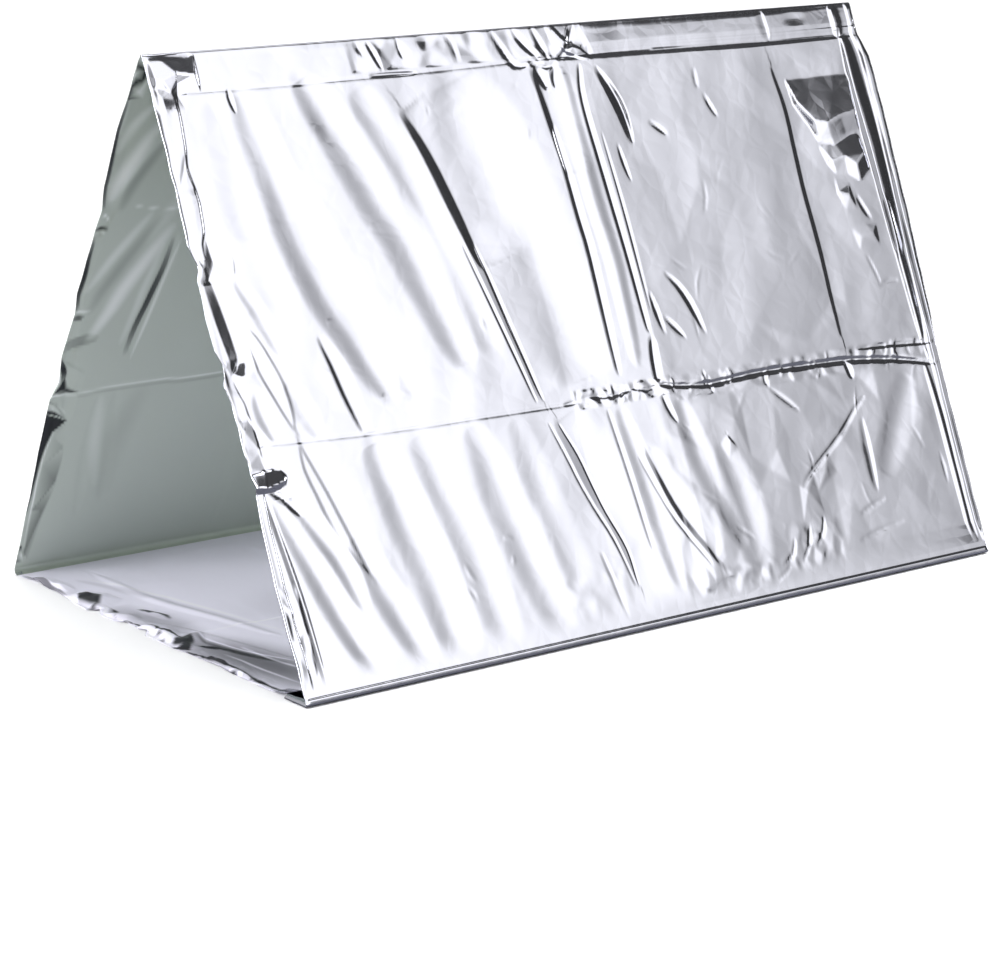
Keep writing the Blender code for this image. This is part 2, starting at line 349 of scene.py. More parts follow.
@dataclass(frozen=True)
class Crumple:
    """A patch of small seeded creases.

    Attributes:
        patch: lowest x and down, then highest, in mm.
        count: how many creases.
        lengths: shortest and longest, in mm.
        half: their usual half width in mm.
        depth: their usual height in mm.
        lean: their usual turn from straight down, in degrees.
        spread: how far that varies, in degrees.
        seed: which creases.
        bow: how far they bow, as a share of their length.
        widths: the narrowest and the widest, as shares of the usual.
        depths: the lowest and the highest, as shares of the usual.
        blunt: how slowly they swell from their tips.
    """

    patch: tuple[float, float, float, float]
    count: int
    lengths: Pair
    half: float
    depth: float
    lean: float = 0.0
    spread: float = 90.0
    seed: int = 1
    bow: float = 0.12
    widths: Pair = (0.6, 1.5)
    depths: Pair = (0.4, 1.4)
    blunt: float = 0.8

    def add_to(self, height: np.ndarray, x: np.ndarray, down: np.ndarray) -> None:
        """Adds the small creases to a grid of heights, as Crease.add_to does."""
        rng = np.random.default_rng(self.seed)
        for _ in range(self.count):
            at = rng.uniform(self.patch[:2], self.patch[2:])
            angle = math.radians(self.lean + rng.uniform(-1, 1) * self.spread)
            length = rng.uniform(*self.lengths)
            bow = rng.uniform(-self.bow, self.bow) * length
            reach = np.array([math.sin(angle), math.cos(angle)]) * length / 2
            across = np.array([math.cos(angle), -math.sin(angle)]) * bow
            places = tuple(tuple(point) for point in (at - reach, at + across, at + reach))
            depth = self.depth * rng.uniform(*self.depths) * rng.choice((-1, 1))
            kink(self.half * rng.uniform(*self.widths), depth, self.blunt, *places).add_to(height, x, down)


def folded(places: list[Vector], rises: np.ndarray, x: np.ndarray, down: np.ndarray) -> np.ndarray:
    """Spans flat facets between corners.

    Args:
        places: each corner's x and down.
        rises: how far each stands out.
        x: each grid point's place along the film.
        down: each row's place down it.

    Returns:
        The facets' heights over the grid, 0 outside them.
    """
    found = geometry.delaunay_2d_cdt(places, [], [], 0, 1e-6)
    points = np.array([tuple(point) for point in found[0]])
    levels = np.array([rises[first[0]] for first in found[3]])
    total = np.zeros_like(x)
    for face in found[2]:
        one, two, three = (points[at] for at in face[:3])
        spots = Patch.round(np.array([one, two, three]), 0).inside(x, down)
        if spots is None:
            continue
        rows, mask, at_x, at_down = spots
        run, rise = two - one, three - one
        area = run[0] * rise[1] - run[1] * rise[0]
        second = ((at_x - one[0]) * rise[1] - (at_down - one[1]) * rise[0]) / area
        third = ((at_down - one[1]) * run[0] - (at_x - one[0]) * run[1]) / area
        held = (second >= 0) & (third >= 0) & (second + third <= 1)
        value = levels[face[0]] * (1 - second - third) + levels[face[1]] * second + levels[face[2]] * third
        total[rows][mask] = np.where(held, value, total[rows][mask])
    return total


@dataclass(frozen=True)
class Facets:
    """Flat facets between straight ridges that meet, as in film that was crushed and pulled flat.

    Attributes:
        patch: lowest x and down, then highest, in mm.
        pitch: the usual distance between the ridges' meeting points, along and down, in mm.
        rise: how far these lie in or out, in mm.
        fade: how far inside the patch they come to full height, in mm.
        seed: which facets.
        jog: how far the meeting points stray, as a share of the pitch.
    """

    patch: tuple[float, float, float, float]
    pitch: Pair
    rise: float
    fade: float = 30.0
    seed: int = 1
    jog: float = 0.42

    def add_to(self, height: np.ndarray, x: np.ndarray, down: np.ndarray) -> None:
        """Adds the facets to a grid of heights, as Crease.add_to does."""
        rng = np.random.default_rng(self.seed)
        left, top, right, bottom = (side * MM for side in self.patch)
        step_x, step_down = (step * MM for step in self.pitch)
        corners = []
        for row, at_down in enumerate(np.arange(top - step_down, bottom + 2 * step_down, step_down)):
            for at_x in np.arange(left - step_x, right + 2 * step_x, step_x) + step_x * 0.5 * (row % 2):
                jog = rng.uniform(-self.jog, self.jog, 2) * (step_x, step_down)
                corners.append(Vector((at_x + jog[0], at_down + jog[1])))
        rises = rng.uniform(-1, 1, len(corners)) * self.rise * MM
        total = folded(corners, rises, x, down)
        inner = np.minimum(np.minimum(x - left, right - x), np.minimum(down - top, bottom - down)[:, None])
        height += soften(total) * smooth(inner / (self.fade * MM))


@dataclass(frozen=True)
class Gather:
    """Flat facets placed one by one, where the film is pinched or bunched.

    Attributes:
        corners: where the facets meet, as rows of x, down and how far they stand out, in mm.
    """

    corners: tuple[Triple, ...]

    def add_to(self, height: np.ndarray, x: np.ndarray, down: np.ndarray) -> None:
        """Adds the facets to a grid of heights, as Crease.add_to does."""
        places = [Vector((corner[0] * MM, corner[1] * MM)) for corner in self.corners]
        height += folded(places, np.array([corner[2] for corner in self.corners]) * MM, x, down)


@dataclass(frozen=True)
class Streaks:
    """Long soft seeded unevenness that runs one way, as in film that is pulled taut.

    Attributes:
        patch: lowest x and down, then highest, in mm.
        width: the usual streak's width, in mm.
        rise: how far they lie in or out, in mm.
        lean: how far they run along the film for each mm down.
        fade: how far inside the patch they come to full height, in mm.
        seed: which streaks.
        stretch: how many times longer than wide they are.
    """

    patch: tuple[float, float, float, float]
    width: float
    rise: float
    lean: float
    fade: float
    seed: int
    stretch: float = 9.0

    def add_to(self, height: np.ndarray, x: np.ndarray, down: np.ndarray) -> None:
        """Adds the streaks to a grid of heights, as Crease.add_to does."""
        left, top, right, bottom = (side * MM for side in self.patch)
        across = np.broadcast_to(down[:, None], x.shape)
        inner = np.minimum(np.minimum(x - left, right - x), np.minimum(across - top, bottom - across))
        waves = Waves(self.width * MM, 1, self.seed).at(x - self.lean * across, across / self.stretch)
        height += self.rise * MM * waves * smooth(inner / (self.fade * MM))


@dataclass(frozen=True)
class Dent:
    """A soft round dent or bulge.

    Attributes:
        place: its middle, in mm.
        reach: how far it goes along and down, in mm.
        depth: its height in mm, below 0 for a dent.
    """

    place: Pair
    reach: Pair
    depth: float

    def add_to(self, height: np.ndarray, x: np.ndarray, down: np.ndarray) -> None:
        """Adds the dent to a grid of heights, as Crease.add_to does."""
        middle = np.array([self.place]) * MM
        spots = Patch.round(middle, 2 * max(self.reach) * MM).inside(x, down)
        if spots is None:
            return
        rows, mask, at_x, at_down = spots
        along = (at_x - middle[0, 0]) / (self.reach[0] * MM)
        across = (at_down - middle[0, 1]) / (self.reach[1] * MM)
        height[rows][mask] += self.depth * MM * np.exp(-(along**2) - across**2)


@dataclass
class Section:
    """The way of the film round the shelter, measured along the film, as the solid has it.

    Attributes:
        length: the base's length.
        height: the crest's height.
        width: the base's width.
        ridge_y: where the crest lies across, below 0 on the near side.
        open_lean: how far the open end leans out at the crest.
        far_lean: how far the far end does.
        low: how high the film lies over the ground, half the solid's thickness.
        lap_gap: how far the floor's edge lies over the flap that is folded in under it.
        flap_width: that flap's width.
        lap_margin: how far past the flap the floor keeps its height.
        overlap_rise: over how far it then comes down.
        floor_edge: how far in from the base edge the floor's edge lies.
        ridge_radius: the bend at the crest.
        far_radius: the bend at the far base edge.
        near_radius: the bend at the near one.
        step_radius: the bends of the floor over the flap.
        bend_steps: how many steps a bend has.
    """

    length: float = 1.043
    height: float = 0.665
    width: float = 0.626
    ridge_y: float = -0.009
    open_lean: float = 0.005
    far_lean: float = 0.012
    low: float = 0.001
    lap_gap: float = 0.004
    flap_width: float = 0.042
    lap_margin: float = 0.004
    overlap_rise: float = 0.024
    floor_edge: float = 0.010
    ridge_radius: float = 0.004
    far_radius: float = 0.006
    near_radius: float = 0.0025
    step_radius: float = 0.002
    bend_steps: int = 10
    path: np.ndarray = field(init=False)
    along: np.ndarray = field(init=False)
    far_base: float = field(init=False)
    crest: float = field(init=False)
    near_base: float = field(init=False)

    def __post_init__(self) -> None:
        """Lays the path through its corners and measures it."""
        lapped = self.low + self.lap_gap
        near_y = self.low - self.width / 2 - self.trim(self.width / 2 + self.ridge_y, self.near_radius)
        far_y = self.width / 2 - self.low + self.trim(self.width / 2 - self.ridge_y, self.far_radius)
        lean = math.atan2(self.ridge_y - near_y, self.height)
        lean += math.atan2(far_y - self.ridge_y, self.height)
        crest_z = self.height - self.low + self.ridge_radius * (1 / math.sin(lean / 2) - 1)
        flap_end = self.low - self.width / 2 + self.flap_width
        lap_end = flap_end + self.lap_margin
        corners = (
            (self.floor_edge - self.width / 2, lapped, 0.0),
            (lap_end, lapped, self.step_radius),
            (lap_end + self.overlap_rise, self.low, self.step_radius),
            (far_y, self.low, self.far_radius),
            (self.ridge_y, crest_z, self.ridge_radius),
            (near_y, self.low, self.near_radius),
            (flap_end, self.low, 0.0),
        )
        path, bends = [corners[0][:2]], []
        for before, corner, after in zip(corners, corners[1:], corners[2:]):
            bends.append(len(path))
            path += self.bend(before[:2], corner[:2], after[:2], corner[2])
        self.path = np.array([*path, corners[-1][:2]])
        steps = np.linalg.norm(np.diff(self.path, axis=0), axis=1)
        self.along = np.concatenate([[0.0], np.cumsum(steps)])
        far_bend, crest_bend, near_bend = bends[-3:]
        self.far_base = float(self.along[far_bend])
        self.crest = float(self.along[crest_bend + self.bend_steps // 2])
        self.near_base = float(self.along[near_bend])

    def trim(self, run: float, radius: float) -> float:
        """How much width a base corner of this radius rounds away."""
        return radius * (1 / math.tan(math.atan2(self.height, run) / 2) - 1)

    def bend(self, before: Pair, at: Pair, after: Pair, radius: float) -> list[Pair]:
        """The arc that rounds off a corner.

        Args:
            before: the corner before, as y and z.
            at: this corner.
            after: the next corner.
            radius: the arc's radius.

        Returns:
            Its points, as y and z.
        """
        corner = Vector(at)
        back = (Vector(before) - corner).normalized()
        on = (Vector(after) - corner).normalized()
        half = back.angle(on) / 2
        centre = corner + (back + on).normalized() * radius / math.sin(half)
        start = corner + back * radius / math.tan(half) - centre
        turn = math.pi - 2 * half
        if back.x * on.y - back.y * on.x > 0:
            turn = -turn
        angles = np.linspace(0, turn, self.bend_steps + 1)
        y = centre.x + start.x * np.cos(angles) - start.y * np.sin(angles)
        z = centre.y + start.x * np.sin(angles) + start.y * np.cos(angles)
        return list(zip(y, z))

    def place(self, along: np.ndarray) -> np.ndarray:
        """The film's y and z at each distance along the section."""
        return np.stack([np.interp(along, self.along, self.path[:, axis]) for axis in (0, 1)], axis=-1)

    def hang(self, x: np.ndarray, along: np.ndarray, out: np.ndarray) -> np.ndarray:
        """Places flat film in space.

        Args:
            x: places along the film from the open end.
            along: places along the section.
            out: how far each is pushed out of the shelter.

        Returns:
            The points, in metres, as x, y and z.
        """
        way = self.place(along + self.low) - self.place(along - self.low)
        way /= np.linalg.norm(way, axis=-1, keepdims=True)
        spot = self.place(along)
        share = x / self.length
        lean = self.far_lean * share - self.open_lean * (1 - share)
        middle = (self.length + self.far_lean - self.open_lean) / 2
        y = spot[..., 0] + way[..., 1] * out
        z = spot[..., 1] - way[..., 0] * out
        return np.stack([x + lean * spot[..., 1] / self.height - middle, y, z], axis=-1)


@dataclass(frozen=True)
class Hem:
    """The film's turned edge at one end.

    Attributes:
        turned: rows of a place down and how wide the strip that is turned in is, in metres.
        widths: rows of a place down and the roll's width.
        puff: rows of a place down and how far the roll stands out, as a share of its width.
        roll_in: how far the turned strip bulges in, in metres.
        gap: how far the strip lies behind the film, below 0 for in front.
        roll: the share of the width over which the roll rises from its fold.
        fall: the share of the width over which it falls to the flat film.
        edge: rows of a place down and how far the edge is drawn in.
        pinches: rows of a place down, its reach and how much the roll is drawn flat there.
        pinch_draw: how far a full pinch draws the edge in.
        rough: how uneven the roll is, as a share.
        wander: how far the edge wanders, in metres.
        fade: over what distance the film stops following its edge.
        waves: how long the unevenness of its width, its puff and its edge is.
        width_rough: how uneven its width is, as a share of rough.
        puffs: the flattest and the fullest that the unevenness makes it.
        settle: how far in from the fold the strip comes to its gap.
        seed: which unevenness.
    """

    turned: Table
    widths: Table
    puff: Table
    roll_in: float
    gap: float = 0.0008
    roll: float = 0.3
    fall: float = 0.32
    edge: Table = even(0)
    pinches: tuple[Triple, ...] = ()
    pinch_draw: float = 0.0012
    rough: float = 0.3
    wander: float = 0.0004
    fade: float = 0.12
    waves: Triple = (0.11, 0.07, 0.05)
    width_rough: float = 0.4
    puffs: Pair = (0.4, 1.7)
    settle: float = 0.003
    seed: int = 5

    @property
    def reach(self) -> float:
        """The turned strip's widest place."""
        return max(width for _, width in self.turned)

    def pinch(self, down: np.ndarray) -> np.ndarray:
        """Reads the pinches.

        Args:
            down: places down the panel.

        Returns:
            How much the roll is pinched at each, from 0 to 1.
        """
        total = np.zeros_like(down)
        for place, reach, share in self.pinches:
            total = np.maximum(total, share * smooth(1 - np.abs(down - place) / reach))
        return total

    def lay(self, flat: np.ndarray, down: np.ndarray) -> tuple[np.ndarray, np.ndarray]:
        """Rolls the edge of flat film.

        Args:
            flat: distance from the fold line, below 0 on the strip that is turned in.
            down: place down the panel.

        Returns:
            The distance from the end and the push out of the shelter.
        """
        uneven = Waves(self.waves[0], 1, self.seed).at(down, down * 0)
        width = read_table(self.widths, down) * (1 + self.rough * self.width_rough * uneven)
        puffed = 1 + self.rough * Waves(self.waves[1], 1, self.seed + 1).at(down, flat * 3)
        pinched = self.pinch(down)
        full = puffed.clip(*self.puffs) * (1 - pinched)
        strip = read_table(self.turned, down)
        back = -flat * strip / self.reach
        share = np.where(flat < 0, back / strip, flat / width)
        rise = np.sin((share / self.roll).clip(0, 1) * math.pi / 2)
        bulge = rise * smooth((1 - share) / self.fall) * full
        edge = read_table(self.edge, down) + self.pinch_draw * pinched
        edge = edge + self.wander * Waves(self.waves[2], 1, self.seed + 2).at(down, down * 0)
        front_out = read_table(self.puff, down) * width * bulge
        back_out = -(self.roll_in * bulge * (self.gap > 0) + self.gap * smooth(back / self.settle))
        away = np.where(flat < 0, back, flat) + edge * smooth(1 - np.abs(flat) / self.fade)
        return away, np.where(flat < 0, back_out, front_out)


@dataclass(frozen=True)
class Guide:
    """A line that the mesh's columns follow, so that they run along the folds.

    Attributes:
        reach: how far each way the columns lie close, in mm.
        pitch: how close they lie there, in mm.
        places: where it runs, in mm from the open end and down from the crest.
    """

    reach: float
    pitch: float
    places: tuple[Pair, ...]

    def at(self, down: np.ndarray | float) -> np.ndarray:
        """The guide's x at each place down, in metres."""
        x, along = (np.array(self.places, float) * MM).T
        return np.interp(down, along, x)


Feature = Crease | Crumple | Facets | Gather | Streaks | Dent
# The film's own unevenness, slow and quick, the quick one's share of its height, and how far both lean
# along the film for each metre down.
SLOW_WAVES, QUICK_WAVES = Waves(0.26, 2.6, 11), Waves(0.075, 3.0, 23)
QUICK_SHARE, WAVES_LEAN = 0.2, 0.22
# Where the columns lie close beside each end: how far in, and how far each way from there.
CLOSE_AT_OPEN_END, CLOSE_AT_FAR_END = (0.012, 0.024), (0.01, 0.016)


@dataclass
class FilmPanel:
    """One side of the film, from a bend of the section to the next.

    Attributes:
        names: the names of its pieces, from the top.
        section: the film's way round the shelter.
        start: where on the section the panel's first row lies.
        sign: 1 where down runs with the section and -1 where against it.
        reach: how far down the panel goes.
        open_hem: the hem at the open end.
        far_hem: the hem at the far end.
        features: the folds, crumples, facets, dents and gathers.
        column_pitch: the usual distance between the mesh's columns.
        row_pitch: the usual distance between its rows.
        close_rows: rows of a place down, its reach and the pitch there.
        guides: the lines that the columns follow.
        quiet: rows of a place down and how much of the relief shows there.
        trims: creases beside the panel's bends, which aren't quietened there.
        shades: strokes of painted shade or painted highlight on the inner face, -1 to 1 high in place of
            mm.
        broad: rows of an x and how far the panel stands out there.
        broad_reach: how far down that comes to its full height.
        sway: how far the panel's own unevenness goes.
        clear: how far in from its ends the relief comes to its full height.
        seams: where one piece ends and the next begins.
        held: how the film is held; not used.
        up_only: whether the relief goes only into the shelter.
    """

    names: tuple[str, ...]
    section: Section
    start: float
    sign: int
    reach: float
    open_hem: Hem
    far_hem: Hem
    features: tuple[Feature, ...]
    column_pitch: float
    row_pitch: float
    close_rows: tuple[Triple, ...]
    guides: tuple[Guide, ...]
    quiet: Table
    trims: tuple[Crease, ...] = ()
    shades: tuple[Crease | Gather, ...] = ()
    broad: Table = even(0)
    broad_reach: float = 0.4
    sway: float = 0.0008
    clear: float = 0.006
    seams: tuple[float, ...] = ()
    held: str = "stretched"
    up_only: bool = False

    def columns(self, down: np.ndarray) -> np.ndarray:
        """Places the mesh's columns.

        Args:
            down: each row's place down the film.

        Returns:
            Each point's place along the flat film, below 0 and past the length on the turned strips.
        """
        length, fine = self.section.length, self.column_pitch * 0.5
        ends = (-self.open_hem.reach, 0.0, length, length + self.far_hem.reach)
        middles = [float(guide.at(self.reach / 2)) for guide in self.guides]
        near = zip(middles, self.guides)
        dense = [(middle, guide.reach * MM, guide.pitch * MM) for middle, guide in near]
        dense.append((*CLOSE_AT_OPEN_END, fine))
        dense.append((length - CLOSE_AT_FAR_END[0], CLOSE_AT_FAR_END[1], fine))
        nominal = spaced(ends[0], ends[3], self.column_pitch, dense)
        rows = []
        for place in down:
            guided = [float(guide.at(place)) for guide in self.guides]
            places = [*ends[:2], *guided, *ends[2:]]
            rows.append(np.interp(nominal, [*ends[:2], *middles, *ends[2:]], places))
        return np.array(rows)

    def relief(self, x: np.ndarray, down: np.ndarray) -> np.ndarray:
        """Adds up the folds.

        Args:
            x: each point's place along the film.
            down: each row's place down it.

        Returns:
            Their height at each point.
        """
        across = np.broadcast_to(down[:, None], x.shape)
        height = read_table(self.broad, x) * (across / self.broad_reach).clip(0, 1)
        height = height + self.sway * SLOW_WAVES.at(x + WAVES_LEAN * across, across)
        height += self.sway * QUICK_SHARE * QUICK_WAVES.at(x + WAVES_LEAN * across, across)
        for feature in self.features:
            feature.add_to(height, x, down)
        if self.up_only:
            height = -np.abs(height)
        height = height * read_table(self.quiet, across)
        for trim in self.trims:
            trim.add_to(height, x, down)
        return height

    def surface(self, flat: np.ndarray, down: np.ndarray) -> np.ndarray:
        """The panel's points in space, by row and column.

        Args:
            flat: each point's place along the flat film.
            down: each row's place down it.

        Returns:
            The points, in metres.
        """
        length = self.section.length
        across = np.broadcast_to(down[:, None], flat.shape)
        near_x, near_out = self.open_hem.lay(flat, across)
        far_x, far_out = self.far_hem.lay(length - flat, across)
        at_open = flat < length / 2
        x = np.where(at_open, near_x, length - far_x)
        out = np.where(at_open, near_out, far_out)
        settle = np.where(out > 0, read_table(self.quiet, across), 1)
        body = self.relief(x, down) * smooth(np.minimum(x, length - x) / self.clear)
        return self.section.hang(x, self.start + self.sign * across, out * settle + body)

    def shade(self, flat: np.ndarray, down: np.ndarray) -> np.ndarray:
        """Adds up the strokes of painted shade and painted highlight.

        Args:
            flat: each point's place along the flat film.
            down: each row's place down it.

        Returns:
            The painted highlight, above 0, or painted shade, below 0, on the inner face there, from -1 to
            1.
        """
        tone = np.zeros_like(flat)
        for stroke in self.shades:
            stroke.add_to(tone, flat, down)
        return (tone / MM).clip(-1, 1)

    def build(self, finish: bpy.types.Material) -> None:
        """Makes the panel's pieces. Each seam's row is in both of its pieces.

        Args:
            finish: their material.
        """
        stops = (0.0, *self.seams, self.reach)
        pitch, close = self.row_pitch, self.close_rows
        parts = [spaced(start, end, pitch, close) for start, end in zip(stops, stops[1:])]
        edges = np.cumsum([0, *(len(part) - 1 for part in parts)])
        down = np.concatenate([parts[0], *(part[1:] for part in parts[1:])])
        flat = self.columns(down)
        points, shades = self.surface(flat, down), self.shade(flat, down)
        for name, first, last in zip(self.names, edges, edges[1:]):
            rows = slice(first, last + 1)
            self.piece(name, points[rows], shades[rows], float(down[last] - down[first]), finish)

    def piece(
        self, name: str, points: np.ndarray, shade: np.ndarray, height: float, finish: bpy.types.Material
    ) -> None:
        """Args:
            name: its name.
            points: its points by row and column.
            shade: its inner face's painted shade or painted highlight at each of them.
            height: how far down the flat film it reaches; not used.
            finish: its material.
        """
        rows, columns = points.shape[:2]
        index = np.arange(rows * columns).reshape(rows, columns)
        quads = np.stack([index[:-1, :-1], index[:-1, 1:], index[1:, 1:], index[1:, :-1]], axis=-1)
        if self.sign > 0:
            quads = quads[..., ::-1]
        mesh = bpy.data.meshes.new(name)
        mesh.from_pydata(points.reshape(-1, 3).tolist(), [], quads.reshape(-1, 4).tolist())
        mesh.materials.append(finish)
        mesh.shade_smooth()
        mesh.attributes.new("shade", "FLOAT", "POINT").data.foreach_set("value", shade.ravel())
        piece = bpy.data.objects.new(name, mesh)
        bpy.context.collection.objects.link(piece)
        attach(piece, BODY)
        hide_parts(NODE)
        LOG.info("%s: %d triangles", name, 2 * (rows - 1) * (columns - 1))


def add_node(
    tree: bpy.types.NodeTree, kind: str, settings: dict | None = None, links: dict | None = None
) -> bpy.types.Node:
    """Adds a node to a tree.

    Args:
        tree: the tree.
        kind: the node's type, without its prefix.
        settings: values by attribute, or by the name or number of an input.
        links: output sockets by the name or number of the input that they feed.

    Returns:
        The node.
    """
    node = tree.nodes.new("ShaderNode" + kind)
    for name, value in (settings or {}).items():
        if isinstance(name, str) and hasattr(node, name):
            setattr(node, name, value)
        else:
            node.inputs[name].default_value = value
    for name, socket in (links or {}).items():
        tree.links.new(socket, node.inputs[name])
    return node


@dataclass(frozen=True)
class AluminisedFilm:
    """Polyester film with a vacuum coat of aluminium on its outer face.

    The coat's own face is a soft mirror. From inside it is seen through the film, duller and hazier.

    Attributes:
        name: the finish's name.
        coat_colour: what the outer face reflects of white.
        coat_roughness: the haze of the coat.
        film_colour: the inner face's colour.
        painted_shade_colour: its colour where its painted shade is deepest, as down a deep fold.
        painted_highlight_colour: its colour where its painted highlight is brightest, as along a stretched
            fold.
        film_metal: how much of the inner face is the coat's mirror.
        film_roughness: the haze of the inner face.
        crinkle_mm: the size of its fine facets.
        crinkle_rise_mm: their height.
        ripple_mm: the size of its soft ripples.
        ripple_rise_mm: their height.
        ripple_shift: how far the ripples bend the fine facets' edges, in metres.
    """

    name: str = "aluminised polyester film"
    coat_colour: str = "#eaebf5"
    coat_roughness: float = 0.11
    film_colour: str = "#bdc6bd"
    painted_shade_colour: str = "#1c2122"
    painted_highlight_colour: str = "#f4f8f6"
    film_metal: float = 0.45
    film_roughness: float = 0.30
    crinkle_mm: float = 26.0
    crinkle_rise_mm: float = 0.16
    ripple_mm: float = 60.0
    ripple_rise_mm: float = 0.4
    ripple_shift: float = 0.03

    def material(self) -> bpy.types.Material:
        """Makes the finish, with the coat outside and the film's own face inside.

        Returns:
            The material.
        """
        made = bpy.data.materials.new(self.name)
        made.use_nodes = True
        tree = made.node_tree
        coat = tree.nodes["Principled BSDF"]
        coat.inputs["Base Color"].default_value = linear(self.coat_colour)
        coat.inputs["Metallic"].default_value = 1.0
        coat.inputs["Roughness"].default_value = self.coat_roughness
        film = self.inner_face(tree)
        crinkle = self.crinkle(tree)
        for side in (coat, film):
            tree.links.new(crinkle, side.inputs["Normal"])
        face = add_node(tree, "NewGeometry").outputs["Backfacing"]
        both = add_node(tree, "MixShader", {}, {0: face, 1: coat.outputs["BSDF"], 2: film.outputs["BSDF"]})
        tree.links.new(both.outputs[0], tree.nodes["Material Output"].inputs["Surface"])
        return made

    def inner_face(self, tree: bpy.types.NodeTree) -> bpy.types.Node:
        """Adds the shader of the inner face, whose colour carries the strokes of painted shade and painted
        highlight.

        Args:
            tree: the material's nodes.

        Returns:
            The shader.
        """
        # The shade attribute holds painted shade below 0 and painted highlight above 0.
        fold = add_node(tree, "Attribute", {"attribute_name": "shade"}).outputs["Fac"]
        share = add_node(tree, "Math", {"operation": "MULTIPLY_ADD", 1: 0.5, 2: 0.5}, {0: fold})
        tones = add_node(tree, "ValToRGB", {}, {"Fac": share.outputs[0]})
        stops = tones.color_ramp.elements
        stops[0].color, stops[1].color = linear(self.painted_shade_colour), linear(self.painted_highlight_colour)
        stops.new(0.5).color = linear(self.film_colour)
        gloss = {"Metallic": self.film_metal, "Roughness": self.film_roughness}
        return add_node(tree, "BsdfPrincipled", gloss, {"Base Color": tones.outputs["Color"]})

    def crinkle(self, tree: bpy.types.NodeTree) -> bpy.types.NodeSocket:
        """Adds the fine relief: soft ripples, and fine facets whose edges they bend.

        Args:
            tree: the material's nodes.

        Returns:
            The surface's direction with that relief.
        """
        place = add_node(tree, "TexCoord").outputs["Object"]
        waves = {"Scale": 1 / (self.ripple_mm * MM), "Detail": 1.0}
        ripples = add_node(tree, "TexNoise", waves, {"Vector": place})
        shift = {"operation": "MULTIPLY_ADD", 1: [self.ripple_shift] * 3}
        shifted = add_node(tree, "VectorMath", shift, {0: ripples.outputs["Color"], 2: place})
        edges = {"feature": "DISTANCE_TO_EDGE", "Scale": 1 / (self.crinkle_mm * MM)}
        facets = add_node(tree, "TexVoronoi", edges, {"Vector": shifted.outputs["Vector"]})
        rise = {"Strength": 1.0, "Distance": self.ripple_rise_mm * MM}
        ripple = add_node(tree, "Bump", rise, {"Height": ripples.outputs[0]})
        rise = {"Strength": 1.0, "Distance": self.crinkle_rise_mm * MM}
        over = {"Height": facets.outputs["Distance"], "Normal": ripple.outputs["Normal"]}
        return add_node(tree, "Bump", rise, over).outputs["Normal"]


# The rolled edges, in metres down from the crest or across the floor.
NEAR_WIDTHS = (
    # down the side, the roll's width
    (0, 0.04), (0.062, 0.03), (0.107, 0.026), (0.132, 0.023), (0.173, 0.026), (0.205, 0.024),
    (0.233, 0.015), (0.243, 0.01), (0.262, 0.013), (0.34, 0.011), (0.366, 0.013), (0.405, 0.018),
    (0.44, 0.023), (0.473, 0.022), (0.497, 0.011), (0.7, 0.014),
)
NEAR_PUFF = (
    # down the side, how far the roll stands out, as a share of its width
    (0, 0), (0.046, 0), (0.07, 0.055), (0.205, 0.07), (0.24, 0.01), (0.262, 0), (0.36, 0), (0.385, 0.03),
    (0.44, 0.045), (0.474, 0), (0.497, 0.12), (0.7, 0.12),
)
NEAR_EDGE = (
    # down the side, how far the edge is drawn in
    (0, -0.002), (0.157, -0.002), (0.218, -0.004), (0.242, 0.001), (0.256, -0.002), (0.302, -0.004),
    (0.337, -0.003), (0.352, 0.002), (0.375, -0.003), (0.397, 0.001), (0.43, 0.001), (0.47, 0.003),
    (0.493, 0.003), (0.533, 0), (0.597, -0.002), (0.7, 0),
)
NEAR_PINCHES = (
    # down the side, the pinch's reach, how much it draws flat
    (0.048, 0.014, 0.7), (0.154, 0.01, 0.3), (0.242, 0.016, 0.9), (0.362, 0.01, 0.8), (0.424, 0.014, 0.6),
    (0.462, 0.01, 0.6),
)
FAR_EDGE = (
    # down the side, how far the edge is drawn in
    (0, 0), (0.068, -0.003), (0.101, -0.006), (0.175, -0.005), (0.208, 0), (0.235, -0.002), (0.323, -0.006),
    (0.351, -0.002), (0.413, -0.006), (0.448, -0.001), (0.474, -0.008), (0.524, -0.007), (0.585, -0.004),
    (0.7, 0),
)

# The lines that the near side's columns follow, in mm.
NEAR_GUIDES = (
    Guide(26, 1.5, ((30, 0), (30, 771))),
    Guide(14, 2, ((100, 0), (104, 72), (132, 196), (158, 300), (188, 395), (206, 690), (208, 771))),
    Guide(16, 2, ((188, 0), (192, 72), (234, 172), (280, 280), (310, 392), (340, 690), (345, 771))),
    Guide(14, 1.1, (
        (312, 0), (320, 76), (350, 158), (368, 251), (408, 452), (434, 500), (456, 590), (482, 690),
        (490, 771),
    )),
    Guide(16, 1.1, (
        (518, 0), (522, 53), (528, 183), (530, 374), (534, 470), (572, 595), (592, 690), (600, 771),
    )),
    Guide(12, 1.1, ((582, 0), (584, 60), (588, 237), (583, 384), (604, 470), (640, 600), (660, 771))),
    Guide(14, 1.5, (
        (610, 0), (618, 80), (636, 120), (634, 300), (650, 400), (668, 470), (700, 600), (720, 771),
    )),
    Guide(9, 1.3, ((888, 0), (893, 203), (884, 362), (888, 430), (892, 540), (892, 771))),
    Guide(9, 1.4, ((1014, 0), (1010, 100), (1010, 262), (1018, 497), (1016, 716), (1016, 771))),
)

NEAR_BROAD = (
    # from the open end, how far the side stands out, in metres
    (0, 0), (0.3, 0), (0.45, 0.0006), (0.592, 0.0044), (0.75, 0.0008), (0.9, -0.0026), (1.043, -0.005),
)

